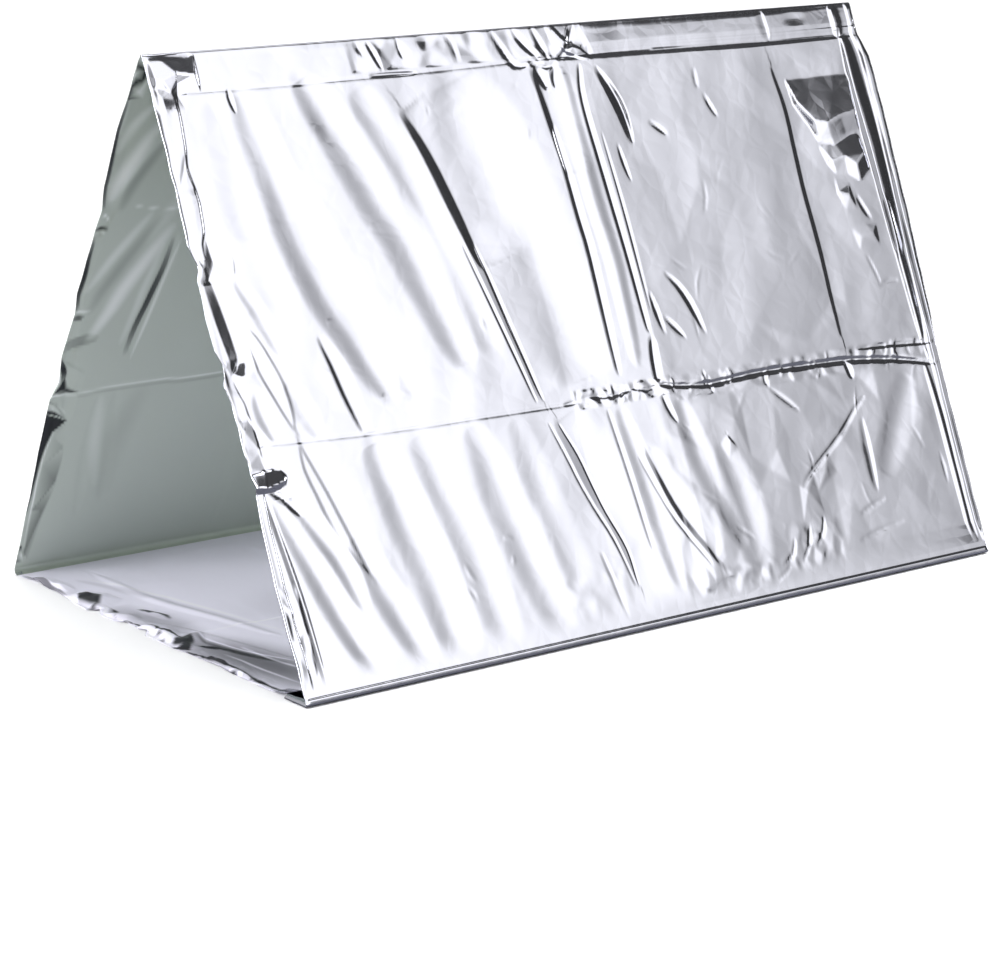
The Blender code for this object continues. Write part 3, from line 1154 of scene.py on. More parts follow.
# The folds, in mm. A crease's row has its half width, height and bluntness, a pleat's steep side, and
# the places that it runs through.
NEAR_TENSION_FOLDS = (
    # Soft folds that fan down from the crest.
    soft(36, -2.8, 0.3, (108, 56), (120, 120), (130, 180), (140, 235), (156, 290), (178, 340), (206, 410)),
    soft(30, -1.3, 0.4, (150, 150), (166, 230), (196, 310), (240, 420)),
    soft(40, -2.7, 0.35, (190, 44), (214, 90), (236, 140), (258, 195), (280, 250), (318, 392)),
    soft(40, -1.6, 0.35, (262, 60), (296, 150), (326, 250), (360, 380)),
    soft(40, -0.9, 0.4, (76, 60), (80, 130), (76, 220)),
    # The sharp fold beside them, which splits in two, and the taut film to its right.
    pleat(130, -3.7, 0.5, 17, (318, 90), (335, 122), (348, 156), (360, 201), (371, 252), (377, 284)),
    soft(78, -2.9, 0.3, (396, 60), (424, 150), (448, 252), (484, 430)),
    pleat(60, -1.4, 0.35, 15, (364, 232), (388, 340), (409, 440)),
    kink(4, -1, 0.3, (353, 254), (372, 330), (400, 446)),
    kink(4, -1, 0.3, (370, 254), (388, 340), (410, 446)),
    # The folds at the middle.
    pleat(60, -2.4, 0.5, 10, (514, 54), (521, 84), (526, 130), (529, 186)),
    kink(8, -1.8, 0.25, (524, 127), (527, 184), (529, 240), (531, 290), (527, 428)),
    soft(16, 1.1, 0.3, (556, 60), (554, 200), (560, 300), (556, 420)),
    kink(6.5, -1.6, 0.2, (584, 56), (577, 100), (581, 200), (585, 300), (586, 384)),
    kink(4, -0.6, 0.4, (592, 140), (596, 240), (597, 360)),
    kink(8, -2, 0.3, (588, 394), (584, 420), (581, 448)),
    pleat(5, -2.8, 0.75, 14, (608, 58), (622, 80), (632, 104), (636, 128), (636, 156)),
    pleat(3, -1.1, 0.6, 5, (612, 156), (615, 178), (618, 202)),
    pleat(3, -1, 0.6, 5, (668, 131), (680, 139), (692, 150)),
    kink(4, -0.7, 0.5, (758, 70), (757, 82), (756, 96)),
    pleat(3, -1, 0.6, 5, (764, 104), (770, 118), (777, 134)),
    pleat(90, -1.7, 0.3, 8, (886, 78), (894, 130), (894, 178), (892, 236), (894, 325), (891, 428)),
    pleat(5, -1.7, 0.7, 8, (632, 318), (648, 334), (661, 358), (672, 398)),
    pleat(3, -1.4, 0.8, 7, (602, 338), (607, 364), (610, 392)),
    pleat(3, -1.3, 0.8, 7, (614, 370), (628, 384), (640, 400)),
    # Short lens-shaped folds beside the open end, each between two fine lines.
    pleat(50, -0.75, 0.3, 3, (37, 308), (43, 338), (46, 364), (57, 396), (65, 418), (72, 434)),
    pleat(50, -0.75, 0.3, 3, (40, 308), (54, 326), (66, 356), (74, 384), (76, 412), (73, 434)),
    pleat(20, -1.8, 0.6, 6, (130, 336), (140, 368), (146, 396), (158, 448)),
    kink(4, -0.6, 0.5, (20, 118), (14, 134), (5, 152)),
    # Grey swellings beside the roll.
    soft(14, -1, 0.5, (44, 262), (62, 300), (78, 350)),
    soft(14, -1.2, 0.5, (34, 388), (38, 416), (46, 442)),
    soft(18, -0.9, 0.5, (100, 446), (92, 420), (76, 380)),
)

NEAR_PACKING_FOLDS = (
    # The upper packing crease: faint towards the open end, a double line past the middle.
    kink(3.5, -0.62, 0.15, (34, 48), (120, 49), (290, 48), (600, 42), (700, 42)),
    kink(4, -1.3, 0.3, (286, 46), (316, 46), (348, 47)),
    pleat(10, -2.2, 0.15, 8, (560, 41), (700, 40), (860, 42), (1040, 41)),
    pleat(4, -0.8, 0.1, 3.5, (596, 33), (720, 32), (880, 33), (1040, 32)),
    # A faint crease that runs aslant.
    kink(3, -0.08, 0.2, (40, 185), (157, 208), (282, 235), (491, 275)),
    # The lower packing crease: sharper and rougher past the middle.
    kink(4, -0.85, 0.15, (22, 444), (100, 448), (200, 452), (330, 454), (470, 456)),
    kink(5, -1.1, 0.2, (440, 455), (480, 451), (510, 454), (540, 450), (562, 453), (592, 450)),
    kink(
        7, -2.4, 0.25, (584, 451), (620, 456), (660, 459), (740, 455), (820, 456), (893, 458), (968, 466),
        (1040, 480),
    ),
    pleat(8, -1.4, 0.3, 4, (912, 446), (970, 448), (1042, 453)),
    Crumple((600, 450, 1030, 470), 24, (10, 26), 4, 0.7, -8, 24, 75),
    kink(7, -1.5, 0.5, (884, 458), (888, 468), (891, 482)),
)

NEAR_LOWER_FOLDS = (
    # Folds that spread from the roll's dark end.
    kink(9, -2.2, 0.6, (18, 492), (34, 502), (54, 526)),
    pleat(4, -1.5, 0.3, 7, (15, 502), (22, 560), (28, 620), (31, 680), (32, 718)),
    soft(22, -2.3, 0.6, (44, 506), (64, 540), (88, 580), (104, 640)),
    soft(24, -2.3, 0.5, (24, 508), (44, 560), (62, 612), (84, 671), (112, 730)),
    pleat(50, -0.75, 0.3, 3, (73, 451), (72, 477), (79, 506), (88, 540), (104, 574), (122, 604)),
    pleat(50, -0.85, 0.3, 3.5, (75, 451), (84, 477), (94, 506), (104, 540), (114, 574), (123, 604)),
    soft(28, -2.2, 0.5, (112, 560), (133, 620), (152, 665), (176, 730)),
    # Soft folds under the lower packing crease.
    soft(38, -2.5, 0.3, (168, 462), (180, 510), (192, 560), (206, 620), (220, 730)),
    soft(36, -1.5, 0.35, (228, 462), (242, 510), (260, 583), (284, 730)),
    soft(36, -1.5, 0.4, (302, 462), (312, 504), (328, 580), (350, 660), (364, 730)),
    soft(30, -0.8, 0.45, (364, 462), (374, 538), (390, 610), (412, 730)),
    # The folded band: grey between two dark lines.
    pleat(70, -1.3, 0.35, 15, (424, 472), (441, 515), (450, 548), (461, 585), (478, 636), (482, 676)),
    kink(3.2, -0.8, 0.25, (410, 474), (424, 517), (433, 547), (445, 580), (461, 618), (476, 676)),
    kink(3.2, -0.8, 0.25, (424, 476), (441, 515), (450, 548), (460, 585), (477, 632), (480, 676)),
    kink(4, -0.8, 0.4, (438, 630), (451, 690), (455, 716)),
    kink(5, -1, 0.3, (498, 470), (506, 550), (513, 640)),
    soft(20, -1.2, 0.4, (516, 470), (528, 560), (540, 690)),
    # The bright folded ridge.
    pleat(30, -1.7, 0.4, 8, (538, 524), (553, 566), (568, 605), (606, 672)),
    kink(4, -0.9, 0.4, (526, 530), (540, 570), (556, 610), (592, 672)),
    kink(6, -1.4, 0.4, (582, 462), (586, 478), (594, 498)),
    soft(24, -1.4, 0.5, (606, 470), (612, 520), (626, 580), (650, 660)),
    soft(34, -1.9, 0.7, (652, 530), (664, 590), (668, 650), (662, 712)),
    Gather(((650, 534, 0), (664, 522, -0.4), (666, 530, 1.2), (676, 540, 0), (660, 552, 0))),
    kink(5, -0.9, 0.5, (750, 477), (775, 498), (789, 510)),
    # The fold that runs down from the crease, with bright facets at its end.
    pleat(5, -1.1, 0.4, 4, (903, 506), (880, 521), (855, 542), (820, 565), (785, 586), (764, 602)),
    Gather((
        (818, 566, 0), (806, 590, 1.2), (790, 640, 0), (796, 582, 0), (826, 592, 0), (785, 588, 0),
        (770, 608, 1.1), (752, 644, 0), (758, 600, 0), (788, 612, 0),
    )),
    soft(30, -1.3, 0.4, (905, 607), (945, 548), (985, 488)),
    pleat(14, -1, 0.5, 5, (885, 624), (888, 580), (890, 533)),
    kink(5, -0.8, 0.5, (848, 649), (872, 641), (895, 636)),
    kink(5, -0.8, 0.5, (836, 681), (876, 673), (917, 668)),
    pleat(10, 1.2, 0.3, 5, (1018, 480), (1022, 560), (1024, 712)),
)

NEAR_TRIMS = (
    # The fold along the base.
    pleat(3.6, 1.5, 0.03, 6.5, (4, 723.5), (300, 723.5), (700, 723.5), (1040, 723.5)),
)

NEAR_CREST_FOLDS = (
    # Puckers between the crest and the upper packing crease.
    Facets((262, 2, 606, 43), (17, 20), 1.15, 4, 33),
    kink(5, -1, 0.5, (274, 4), (279, 14), (283, 24)),
    kink(5, -1.3, 0.5, (291, 6), (297, 22), (303, 42)),
    kink(4, -0.9, 0.5, (332, 4), (334, 16), (337, 30)),
    kink(5, -1, 0.5, (401, 4), (409, 18), (411, 40)),
    # The pleats that meet at the middle.
    kink(6, -1.5, 0.3, (466, 4), (478, 26), (490, 48), (508, 49)),
    kink(7, -1.4, 0.5, (498, 3), (512, 24), (528, 44)),
    kink(7, -1.3, 0.5, (526, 3), (534, 24), (542, 45)),
    trough(9, 1.8, 0.4, (552, 2), (562, 22), (580, 36), (602, 45)),
    kink(6, -1.2, 0.5, (590, 4), (578, 26), (556, 46)),
    kink(7, -1.8, 0.4, (514, 48), (534, 53), (552, 50)),
    kink(10, -2.2, 0.6, (518, 52), (526, 64), (530, 80)),
    kink(8, -1.7, 0.6, (548, 52), (545, 64), (541, 78)),
    # Past the middle, where the strip above the crease faces a little more up.
    Gather((
        (598, 3, 0), (618, 8, 0.1), (1040, 4, 0), (612, 40, 0.8), (760, 41, 1), (900, 41, 0.9),
        (1040, 41, 0.9), (598, 44, 0), (1040, 46, 0),
    )),
    soft(6, -0.9, 0.1, (604, 3), (820, 3.5), (1040, 3)),
    Facets((600, 10, 1036, 41), (90, 30), 0.12, 5, 36),
    Dent((965, 42), (80, 34), 1.2),
    Dent((940, 18), (14, 8), -0.5),
    pleat(14, -0.8, 0.3, 4, (892, 40), (890, 22), (889, 5)),
    # The roll at the far end: bright where it rises and dark where it falls away.
    pleat(18, 1.8, 0.3, 5, (1006, 4), (1006, 24), (1007, 44)),
    pleat(30, 4.4, 0.35, 5, (1012, 46), (1012, 120), (1016, 220), (1019, 330)),
    pleat(14, 2.1, 0.3, 4, (1018, 260), (1020, 340), (1024, 448)),
    pleat(6, -1, 0.6, 4, (95, 48), (94, 58), (97, 74)),
)

NEAR_GATHERS = (
    # At the apex: a dark flat under the crest, a pillow below it and a star where they are drawn in.
    Gather((
        (-6, 2, 0), (10, 1, 0), (56, 4, -1.2), (62, 4, 0), (33, 26, 3.4), (56, 30, 3.6), (62, 31, 0),
        (-6, 26, 1.5), (14, 33, 3.2), (31, 35, 2.2), (18, 40, 2), (0, 39, 1), (16, 43, 0.4), (33, 38, -0.6),
        (22, 47, 0.6), (31, 50, -1.8), (27, 60, -0.5), (9, 52, 1.2), (-6, 60, 0), (44, 46, 0), (60, 48, 0),
        (36, 66, 0), (10, 70, 0.4),
    )),
    # Where the roll is first drawn in.
    Gather((
        (-6, 215, 0), (20, 213, 0), (10, 242, 0.2), (29, 235, -1.4), (24, 239, -2.8), (7, 245, 0.8),
        (12, 258, -1.4), (48, 228, 0), (46, 252, 0.4), (24, 262, 0), (-6, 262, 0),
    )),
    # The wide dark hollow below it.
    pleat(26, -3.6, 0.45, 15, (12, 254), (17, 275), (21, 300), (24, 330), (24, 350), (18, 364)),
    # Where it is drawn in again, with folds that spread from there.
    Gather((
        (-6, 352, 0), (3, 350, 0.6), (21, 351, -1.8), (11, 365, -1.2), (-6, 378, 0), (28, 361, 0.6),
        (46, 384, 0), (24, 376, 0.9), (16, 392, 0), (34, 346, 0),
    )),
    # The turned corner above the lower packing crease and the flat below it.
    Gather((
        (-6, 408, 0), (17, 414, -0.8), (8, 427, 1.4), (23, 429, -1.2), (0, 432, 1.2), (21, 446, -1.6),
        (-6, 444, 0), (2, 466, 1.2), (20, 452, -1.2), (23, 473, -1.4), (36, 440, 0), (38, 470, 0),
        (-6, 474, 0.4),
    )),
    # The roll's dark end.
    Gather((
        (-4, 484, 0), (2, 473, 0), (20, 470, 0), (41, 474, 0), (47, 481, 0), (1, 491, 6), (20, 493, 7.4),
        (39, 488, 4.6), (0, 493.2, 0), (20, 495, 0), (43, 489.5, 0),
    )),
    # The edge is crushed again near the base.
    Facets((1, 598, 26, 718), (9, 13), 1, 4, 35),
)

NEAR_UNEVENNESS = (
    # The lift at the far end's upper corner, which faces a little more up.
    Gather((
        (902, 94, 0), (1008, 94, 0), (907, 127, 0), (911, 127, 3.4), (1004, 127, 3.4), (925, 157, 0),
        (930, 153, 6), (950, 158, 6.6), (976, 150, 5.8), (1003, 146, 5.4), (934, 178, 0), (958, 184, 0),
        (984, 174, 0), (1008, 168, 0),
    )),
    # Smaller dark creases under it.
    Gather((
        (932, 184, 0), (956, 176, 0), (1000, 170, 0), (945, 207, 2.8), (968, 202, 3.4), (984, 214, 4.6),
        (1003, 200, 3.6), (940, 209, 0), (950, 222, 0), (970, 224, 0), (988, 236, 0), (1008, 222, 0),
    )),
    Gather(((946, 226, 0), (966, 236, 0), (962, 252, 1.6), (944, 246, 0.8), (952, 268, 0), (970, 270, 0))),
    pleat(4, -1, 0.6, 6, (974, 252), (980, 266), (990, 286)),
    Gather((
        (952, 296, 0), (976, 288, 0), (996, 292, 0), (966, 306, 1), (986, 304, 1.5), (958, 322, 0),
        (994, 320, 0),
    )),
    kink(3, -0.5, 0.5, (966, 330), (974, 352), (978, 372)),
    pleat(3, -0.6, 0.5, 5, (976, 372), (994, 366), (1010, 368)),
    Streaks((30, 52, 520, 446), 90, 0.32, 0.3, 50, 61),
    Streaks((30, 456, 540, 716), 80, 0.32, 0.26, 40, 62),
    Facets((20, 55, 600, 446), (74, 110), 0.18, 30, 21),
    Facets((596, 52, 1020, 446), (56, 60), 0.7, 24, 22),
    Facets((20, 462, 560, 716), (64, 84), 0.3, 24, 23),
    Facets((560, 462, 1020, 716), (38, 42), 0.75, 20, 24),
    # The crushed middle of the lower packing crease and its rough right half.
    Facets((452, 440, 602, 466), (6.5, 8), 1.15, 5, 6),
    Facets((600, 440, 1032, 476), (14, 9), 0.55, 6, 8),
    # Fine crumples near the base.
    Facets((372, 650, 470, 714), (15, 20), 0.55, 14, 9),
    Facets((600, 676, 720, 716), (10, 11), 0.8, 10, 10),
    Facets((716, 640, 812, 706), (11, 13), 0.8, 14, 11),
    Facets((540, 600, 620, 714), (15, 22), 0.6, 14, 12),
    kink(4, -1, 0.5, (616, 711), (638, 716), (660, 708)),
    kink(4, -1, 0.5, (664, 702), (690, 706), (714, 693)),
    kink(4, -0.9, 0.5, (702, 690), (722, 680), (730, 662)),
    kink(4, -0.9, 0.5, (736, 690), (752, 672), (760, 650)),
    kink(4, -0.9, 0.5, (764, 676), (780, 660), (786, 642)),
    # Fine marks all over, as fewer on the taut half.
    Crumple((190, 580, 330, 650), 9, (12, 36), 3.5, 0.3, 20, 60, 71),
    Crumple((90, 70, 560, 430), 9, (8, 22), 3, 0.25, 0, 90, 72),
    Crumple((640, 120, 880, 400), 7, (26, 50), 4, 0.22, 0, 70, 73),
    Crumple((600, 480, 1020, 650), 12, (20, 44), 3.5, 0.3, 0, 60, 74),
)

FAR_FEATURES = (
    # Beside the open end, where the inside shows: a fold outward looks like a trough there.
    soft(18, -2.2, 0.4, (49, 112), (25, 156), (8, 198)),
    soft(22, 2.6, 0.4, (92, 232), (52, 305), (17, 380)),
    kink(10, 3, 0.5, (112, 254), (109, 297), (101, 342), (92, 381), (86, 418)),
    soft(14, 1, 0.4, (84, 474), (88, 534), (100, 640)),
    soft(12, 0.8, 0.4, (60, 480), (62, 560), (70, 660)),
    kink(4, 0.5, 0.5, (40, 203), (70, 212), (104, 217)),
    Gather((
        (-8, 6, 0), (-2, 16, 3), (9, 22, 0), (-4, 28, 0), (4, 34, 2.6), (12, 44, 0), (-5, 46, 0),
        (2, 54, 2), (-8, 64, 0),
    )),
    Gather(((-8, 224, 0), (-8, 240, 0), (3, 231, 2.4), (15, 237, 0), (14, 226, 0))),
    Gather(((-8, 340, 0), (-8, 362, 0), (0, 350, 2.6), (8, 359, 0.4), (26, 348, 0), (10, 340, 0))),
    Gather(((-6, 408, 0), (9, 383, 0), (38, 385, 0), (18, 390, 1.8), (10, 398, 1.6), (22, 402, 0))),
    Gather((
        (-8, 410, 0), (6, 424, -1.8), (13, 456, 1.8), (-2, 444, 1.6), (0, 460, -1.2), (31, 469, 0),
        (-8, 472, 0), (15, 492, 2.4), (-8, 492, -0.6), (28, 509, 0), (34, 440, 0), (12, 516, 0),
    )),
    kink(6, 0.9, 0.12, (2, 463), (34, 468), (72, 466), (138, 465), (227, 470), (640, 455), (1036, 462)),
    kink(8, -0.9, 0.15, (60, 47), (520, 49), (1030, 44)),
    soft(40, -1.8, 0.3, (168, 56), (176, 240), (160, 440)),
    kink(8, -1.1, 0.3, (232, 70), (240, 240), (230, 440)),
    soft(44, -1.8, 0.3, (330, 56), (350, 250), (334, 446)),
    kink(8, -1.1, 0.3, (430, 60), (446, 250), (440, 440)),
    soft(44, -1.6, 0.3, (640, 60), (620, 260), (634, 440)),
    kink(8, -1.1, 0.3, (760, 60), (742, 260), (754, 440)),
    soft(40, -1.4, 0.3, (864, 60), (872, 240), (866, 440)),
    kink(8, -1.1, 0.3, (262, 470), (286, 600), (280, 716)),
    soft(40, -1.6, 0.3, (360, 476), (390, 600), (384, 716)),
    kink(8, -1.1, 0.3, (590, 474), (570, 600), (584, 716)),
    kink(8, -1.1, 0.3, (930, 480), (850, 570), (790, 690)),
    Streaks((8, 56, 1030, 446), 90, 0.4, -0.3, 40, 63),
    Facets((200, 55, 1020, 452), (62, 84), 0.45, 30, 41),
    Facets((200, 472, 1020, 716), (46, 56), 0.7, 24, 42),
    Crumple((60, 3, 1030, 40), 30, (10, 30), 6, 0.8, 10, 30, 43),
)

# Strokes of painted shade, below 0, and painted highlight, above 0, on the far side's inner face.
FAR_SHADES = (
    # Beside the open end: painted shade down a deep fold of the inner face, and painted highlights and
    # shade along the stretched bands that lead to it.
    trough(7, -0.95, 0.6, (107, 256), (104, 297), (95, 342), (86, 381), (81, 420)),
    soft(3, 0.6, 0.4, (118, 258), (106, 337), (90, 428)),
    soft(8, 0.35, 0.4, (97, 262), (84, 330), (72, 404)),
    soft(15, 0.85, 0.4, (52, 96), (28, 146), (10, 196)),
    soft(13, -0.38, 0.4, (66, 118), (40, 167), (24, 210)),
    soft(15, 0.75, 0.4, (104, 236), (66, 309), (28, 392)),
    soft(15, -0.3, 0.4, (84, 222), (49, 286), (18, 352)),
    soft(10, 0.45, 0.4, (70, 214), (36, 270), (10, 322)),
    soft(10, 0.5, 0.4, (40, 66), (22, 96), (8, 132)),
    soft(18, 0.2, 0.5, (132, 120), (104, 196), (72, 262)),
    soft(30, -0.14, 0.5, (120, 470), (96, 560), (100, 640)),
    soft(14, 0.22, 0.5, (66, 474), (72, 540), (88, 620)),
    # Painted shade along the rim, with painted shade and highlights at its pinches.
    trough(6, -0.98, 0.3, (1, 60), (1, 100), (2, 170), (2, 206)),
    trough(6, -0.98, 0.3, (1, 246), (2, 300), (1, 346)),
    Gather((
        (-3, 4, 0), (8, 10, 0.9), (1, 17, -1), (14, 24, -1), (1, 29, 1), (14, 36, -1), (1, 44, -1),
        (14, 52, 0.9), (1, 60, -1), (24, 28, 0), (22, 62, 0),
    )),
    kink(2.4, 0.9, 0.5, (-2, 212), (8, 215), (16, 224)),
    trough(3.6, -0.95, 0.6, (-1, 232), (8, 233), (17, 233)),
    kink(2.2, 0.9, 0.5, (-1, 238), (7, 239), (15, 236)),
    kink(2.4, 0.9, 0.5, (-2, 349), (9, 347), (24, 346)),
    trough(4, -0.7, 0.5, (-2, 356), (7, 357), (14, 354)),
    # A leaf of painted shade, and painted shade and highlights on the crushed rim under it.
    trough(11, -0.45, 0.6, (-2, 404), (8, 394), (24, 389), (42, 389)),
    trough(5, -1, 0.6, (-3, 409), (3, 424), (7, 438), (6, 452)),
    trough(5, 1, 0.5, (-4, 430), (-1, 444), (0, 458)),
    Gather((
        (9, 448, -1), (15, 461, -1), (32, 468, -1), (3, 463, -1), (9, 444, 0), (18, 458, 0), (38, 467, 0),
        (0, 466, 0),
    )),
    kink(2.4, 0.9, 0.2, (-4, 468), (14, 469), (34, 470)),
    kink(3.5, -0.6, 0.3, (-4, 474), (10, 482), (25, 502)),
    trough(6, 0.35, 0.5, (2, 476), (12, 488), (26, 499)),
    # The turned-in flap: a black painted shadow behind its free edge, painted highlights along that edge,
    # and painted shade over the flap.
    Gather((
        (-8, 487, -1), (11, 493, -1), (27, 508, -1), (12, 521, -1), (8, 539, -1), (4, 568, -1),
        (2, 603, -1), (-1, 640, -1), (-8, 640, -1), (-8, 484, 0), (12, 490, 0), (30, 507, 0), (15, 522, 0),
        (11, 540, 0), (7, 569, 0), (5, 604, 0), (2, 646, 0), (-8, 646, 0),
    )),
    kink(1.8, 1.2, 0.3, (-2, 493), (14, 499), (27, 507)),
    Gather((
        (27, 512, -0.2), (16, 530, -0.1), (10, 572, -0.2), (8, 640, -0.5), (9, 706, -0.6), (32, 548, -0.3),
        (30, 600, -0.6), (22, 645, -0.6), (13, 716, -0.4), (30, 512, 0), (35, 548, 0), (33, 602, 0),
        (25, 647, 0), (16, 718, 0), (14, 522, 0), (7, 568, 0), (5, 640, 0), (6, 710, 0),
    )),
    kink(2, 0.9, 0.2, (14, 522), (8, 560), (6, 610), (7, 700)),
    trough(6, 1, 0.4, (-5, 640), (-4, 676), (-3, 712)),
    Gather((
        (-6, 690, 0), (4, 696, -1), (-4, 704, -1), (6, 710, 0.8), (-2, 718, -1), (10, 722, 0), (-6, 724, 0),
    )),
    soft(2.8, 0.6, 0.15, (34, 469), (72, 466), (138, 465), (227, 468), (640, 457)),
    soft(3.2, -0.22, 0.15, (36, 474), (72, 471), (138, 470), (227, 473), (640, 462)),
    soft(2.2, 0.55, 0.3, (36, 203), (70, 211), (108, 217)),
)

# Strokes of painted shade, below 0, and painted highlight, above 0, on the floor's inner face.
FLOOR_SHADES = (
    # Painted highlights along the ridges with painted soft shade beside them, and broad painted shade
    # towards the front edge.
    soft(5, 0.4, 0.3, (57, 60), (93, 170), (116, 279), (138, 383)),
    soft(12, -0.25, 0.3, (46, 60), (80, 170), (103, 279), (124, 383)),
    soft(3, 0.5, 0.3, (46, 326), (56, 410), (83, 479)),
    soft(8, -0.3, 0.3, (38, 330), (46, 410), (70, 479)),
    soft(3, 0.5, 0.3, (31, 409), (35, 477), (42, 546)),
    soft(4, 0.5, 0.3, (60, 400), (66, 470), (84, 560)),
    soft(2.8, 0.6, 0.2, (30, 326), (400, 331), (1010, 324)),
    trough(6, -1, 0.7, (45, 206), (52, 234), (52, 262)),
    trough(6, -1, 0.7, (23, 370), (34, 382), (43, 398)),
    soft(80, -0.85, 0.4, (20, 330), (44, 440), (66, 590)),
    soft(44, -0.5, 0.4, (20, 180), (34, 260), (44, 340)),
    soft(150, -0.26, 0.3, (150, 300), (400, 330), (900, 360)),
    # Painted shade on the flap, and painted shade and highlights along the crushed front edge.
    trough(5, -0.8, 0.3, (3, 6), (3, 50), (2, 110)),
    Gather((
        (15, 120, -1), (34, 143, -1), (18, 167, -1), (-1, 178, -1), (10, 131, -1), (7, 129, 0.8),
        (3, 117, 0.8), (-4, 166, 0.8), (-4, 176, 0.7), (12, 116, 0), (38, 143, 0), (21, 171, 0),
        (0, 183, 0), (2, 112, 0),
    )),
    Gather((
        (12, 178, 0.3), (20, 200, -1), (17, 207, -1), (-2, 228, 0.6), (0, 204, 0.9), (24, 203, 0),
        (13, 174, 0), (0, 232, 0),
    )),
    trough(3.2, -1, 0.3, (0, 238), (6, 262), (13, 284), (20, 316), (26, 341)),
    Gather((
        (2, 292, 0), (14, 300, 0.9), (0, 304, 0.9), (10, 310, -1), (0, 316, 0.8), (14, 321, 0.9),
        (4, 327, -1), (12, 333, 0.9), (0, 339, 0.9), (14, 346, -0.8), (2, 352, 0.9), (8, 360, 0.8),
        (20, 330, 0), (22, 350, 0), (16, 304, 0),
    )),
    Gather((
        (0, 360, -1), (19, 337, -1), (35, 337, -1), (26, 352, -1), (8, 372, -1), (38, 335, 0), (14, 334, 0),
        (-2, 356, 0), (8, 377, 0), (30, 356, 0),
    )),
    trough(3.6, -0.95, 0.2, (2, 378), (6, 420), (8, 474), (8, 530), (9, 592)),
    Gather(((-2, 463, 0), (6, 468, 0.9), (0, 474, -1), (8, 480, 0.9), (0, 486, 0.7), (7, 492, 0))),
    Gather(((-2, 500, 0), (6, 506, -1), (0, 511, 0.9), (7, 517, -1), (-1, 523, 0.9), (7, 530, 0))),
    Gather((
        (-1, 545, 0), (7, 552, -1), (0, 558, 0.9), (8, 565, -1), (-1, 572, 0.9), (8, 580, -1), (0, 590, 0),
    )),
)

FLOOR_FEATURES = (
    # Ridges that stand up off the ground, in from the far side.
    soft(12, 1.9, 0.5, (80, 22), (78, 178), (101, 299), (126, 400)),
    soft(11, 2.2, 0.5, (24, 248), (50, 330), (84, 470)),
    kink(5, 0.9, 0.3, (40, 326), (400, 332), (1010, 324)),
    kink(8, 3, 0.5, (44, 208), (50, 236), (51, 262)),
    kink(7, 2.6, 0.5, (24, 370), (34, 382), (42, 396)),
    soft(20, 3, 0.5, (300, 50), (338, 250), (320, 500)),
    soft(20, 3, 0.5, (610, 40), (590, 220), (622, 490)),
    soft(20, 3, 0.5, (870, 60), (894, 250), (880, 510)),
    # The flap, the curl and the crushed stretches of the front edge.
    Gather((
        (8, 112, 0), (22, 116, 5.4), (40, 142, 3.6), (22, 150, 8), (4, 176, 3.4), (0, 150, 1), (50, 128, 0),
        (52, 160, 0), (16, 190, 0),
    )),
    Gather((
        (0, 196, 0), (6, 216, 6.6), (20, 212, 1.2), (14, 232, 5.4), (34, 222, 0), (4, 250, 0), (30, 244, 0),
    )),
    Gather((
        (6, 262, 0), (12, 282, 6), (30, 276, 2), (24, 300, 7), (44, 294, 0), (30, 322, 3), (40, 340, 7.4),
        (56, 330, 0), (14, 352, 4.6), (34, 366, 1), (2, 376, 0), (24, 384, 0),
    )),
    Gather((
        (0, 400, 0), (10, 420, 5), (26, 414, 1), (14, 452, 4), (34, 440, 0), (4, 486, 4.6), (24, 500, 0),
        (6, 520, 0),
    )),
    Gather(((0, 20, 0), (10, 44, 4.6), (28, 36, 1), (14, 74, 5), (34, 70, 0), (12, 100, 0), (28, 98, 0))),
    Facets((-2, 20, 26, 590), (10, 14), 1.8, 4, 53),
    Facets((0, 380, 18, 606), (8, 9), 1.6, 4, 54),
    Facets((10, 20, 1030, 560), (64, 70), 0.8, 20, 51),
)

FLOOR_EDGE = (
    # across the floor from the far side, drawn in by
    (0.012, 0.004), (0.079, 0.004), (0.117, 0.002), (0.172, -0.007), (0.184, 0.006), (0.205, -0.002),
    (0.228, -0.003), (0.246, 0.006), (0.286, 0.008), (0.298, -0.002), (0.36, -0.003), (0.378, 0.002),
    (0.446, 0.003), (0.511, 0.001), (0.583, 0.004), (0.61, 0.016),
)


@dataclass(frozen=True)
class Tier:
    """The studio's flats at one height.

    Attributes:
        above: how high it starts, in degrees over the square view of a side.
        soft: how softly it starts, in degrees.
        tones: rows of a bearing and a brightness, 0 straight out from a side and 90 along the ridge to +X.
    """

    above: float
    soft: float
    tones: Table


TIERS = (
    Tier(-90, 1, (
        (-90, 1), (-70, 1), (-60, 0.6), (-20, 0.8), (18, 0.8), (27, 0.3), (40, 0.3), (50, 0.1), (57, 0.1),
        (62, 0.7), (90, 1),
    )),
    Tier(-17, 3, (
        (-90, 6), (-70, 6), (-62, 0.3), (-54, 0.08), (-44, 0.12), (-40, 0.45), (-22, 0.5), (-18, 0.12),
        (-12, 0.15), (-5, 0.8), (4, 1.36), (24, 1.38), (31, 1.31), (35, 1.21), (38, 1.07), (40, 0.93),
        (42, 0.77), (44, 0.67), (48, 0.52), (54, 0.4), (56.5, 0.05), (79, 0.03), (82, 0.6), (86, 6),
        (90, 9),
    )),
    Tier(15.2, 0.9, (
        (-90, 9), (-66, 9), (-60, 0.12), (-30, 0.3), (-12, 0.5), (-4, 1.3), (34, 1.2), (39.5, 0.9),
        (42.5, 0.05), (76, 0.04), (82, 0.6), (86, 6), (90, 9),
    )),
    Tier(27, 1.5, ((-90, 9), (-64, 9), (-58, 0.4), (-20, 0.4), (-5, 0.08), (76, 0.05), (82, 0.6), (90, 9))),
    Tier(46, 4, ((-90, 9), (-60, 6), (-30, 2.8), (0, 2.5), (30, 2.5), (60, 2), (80, 4), (90, 8))),
)


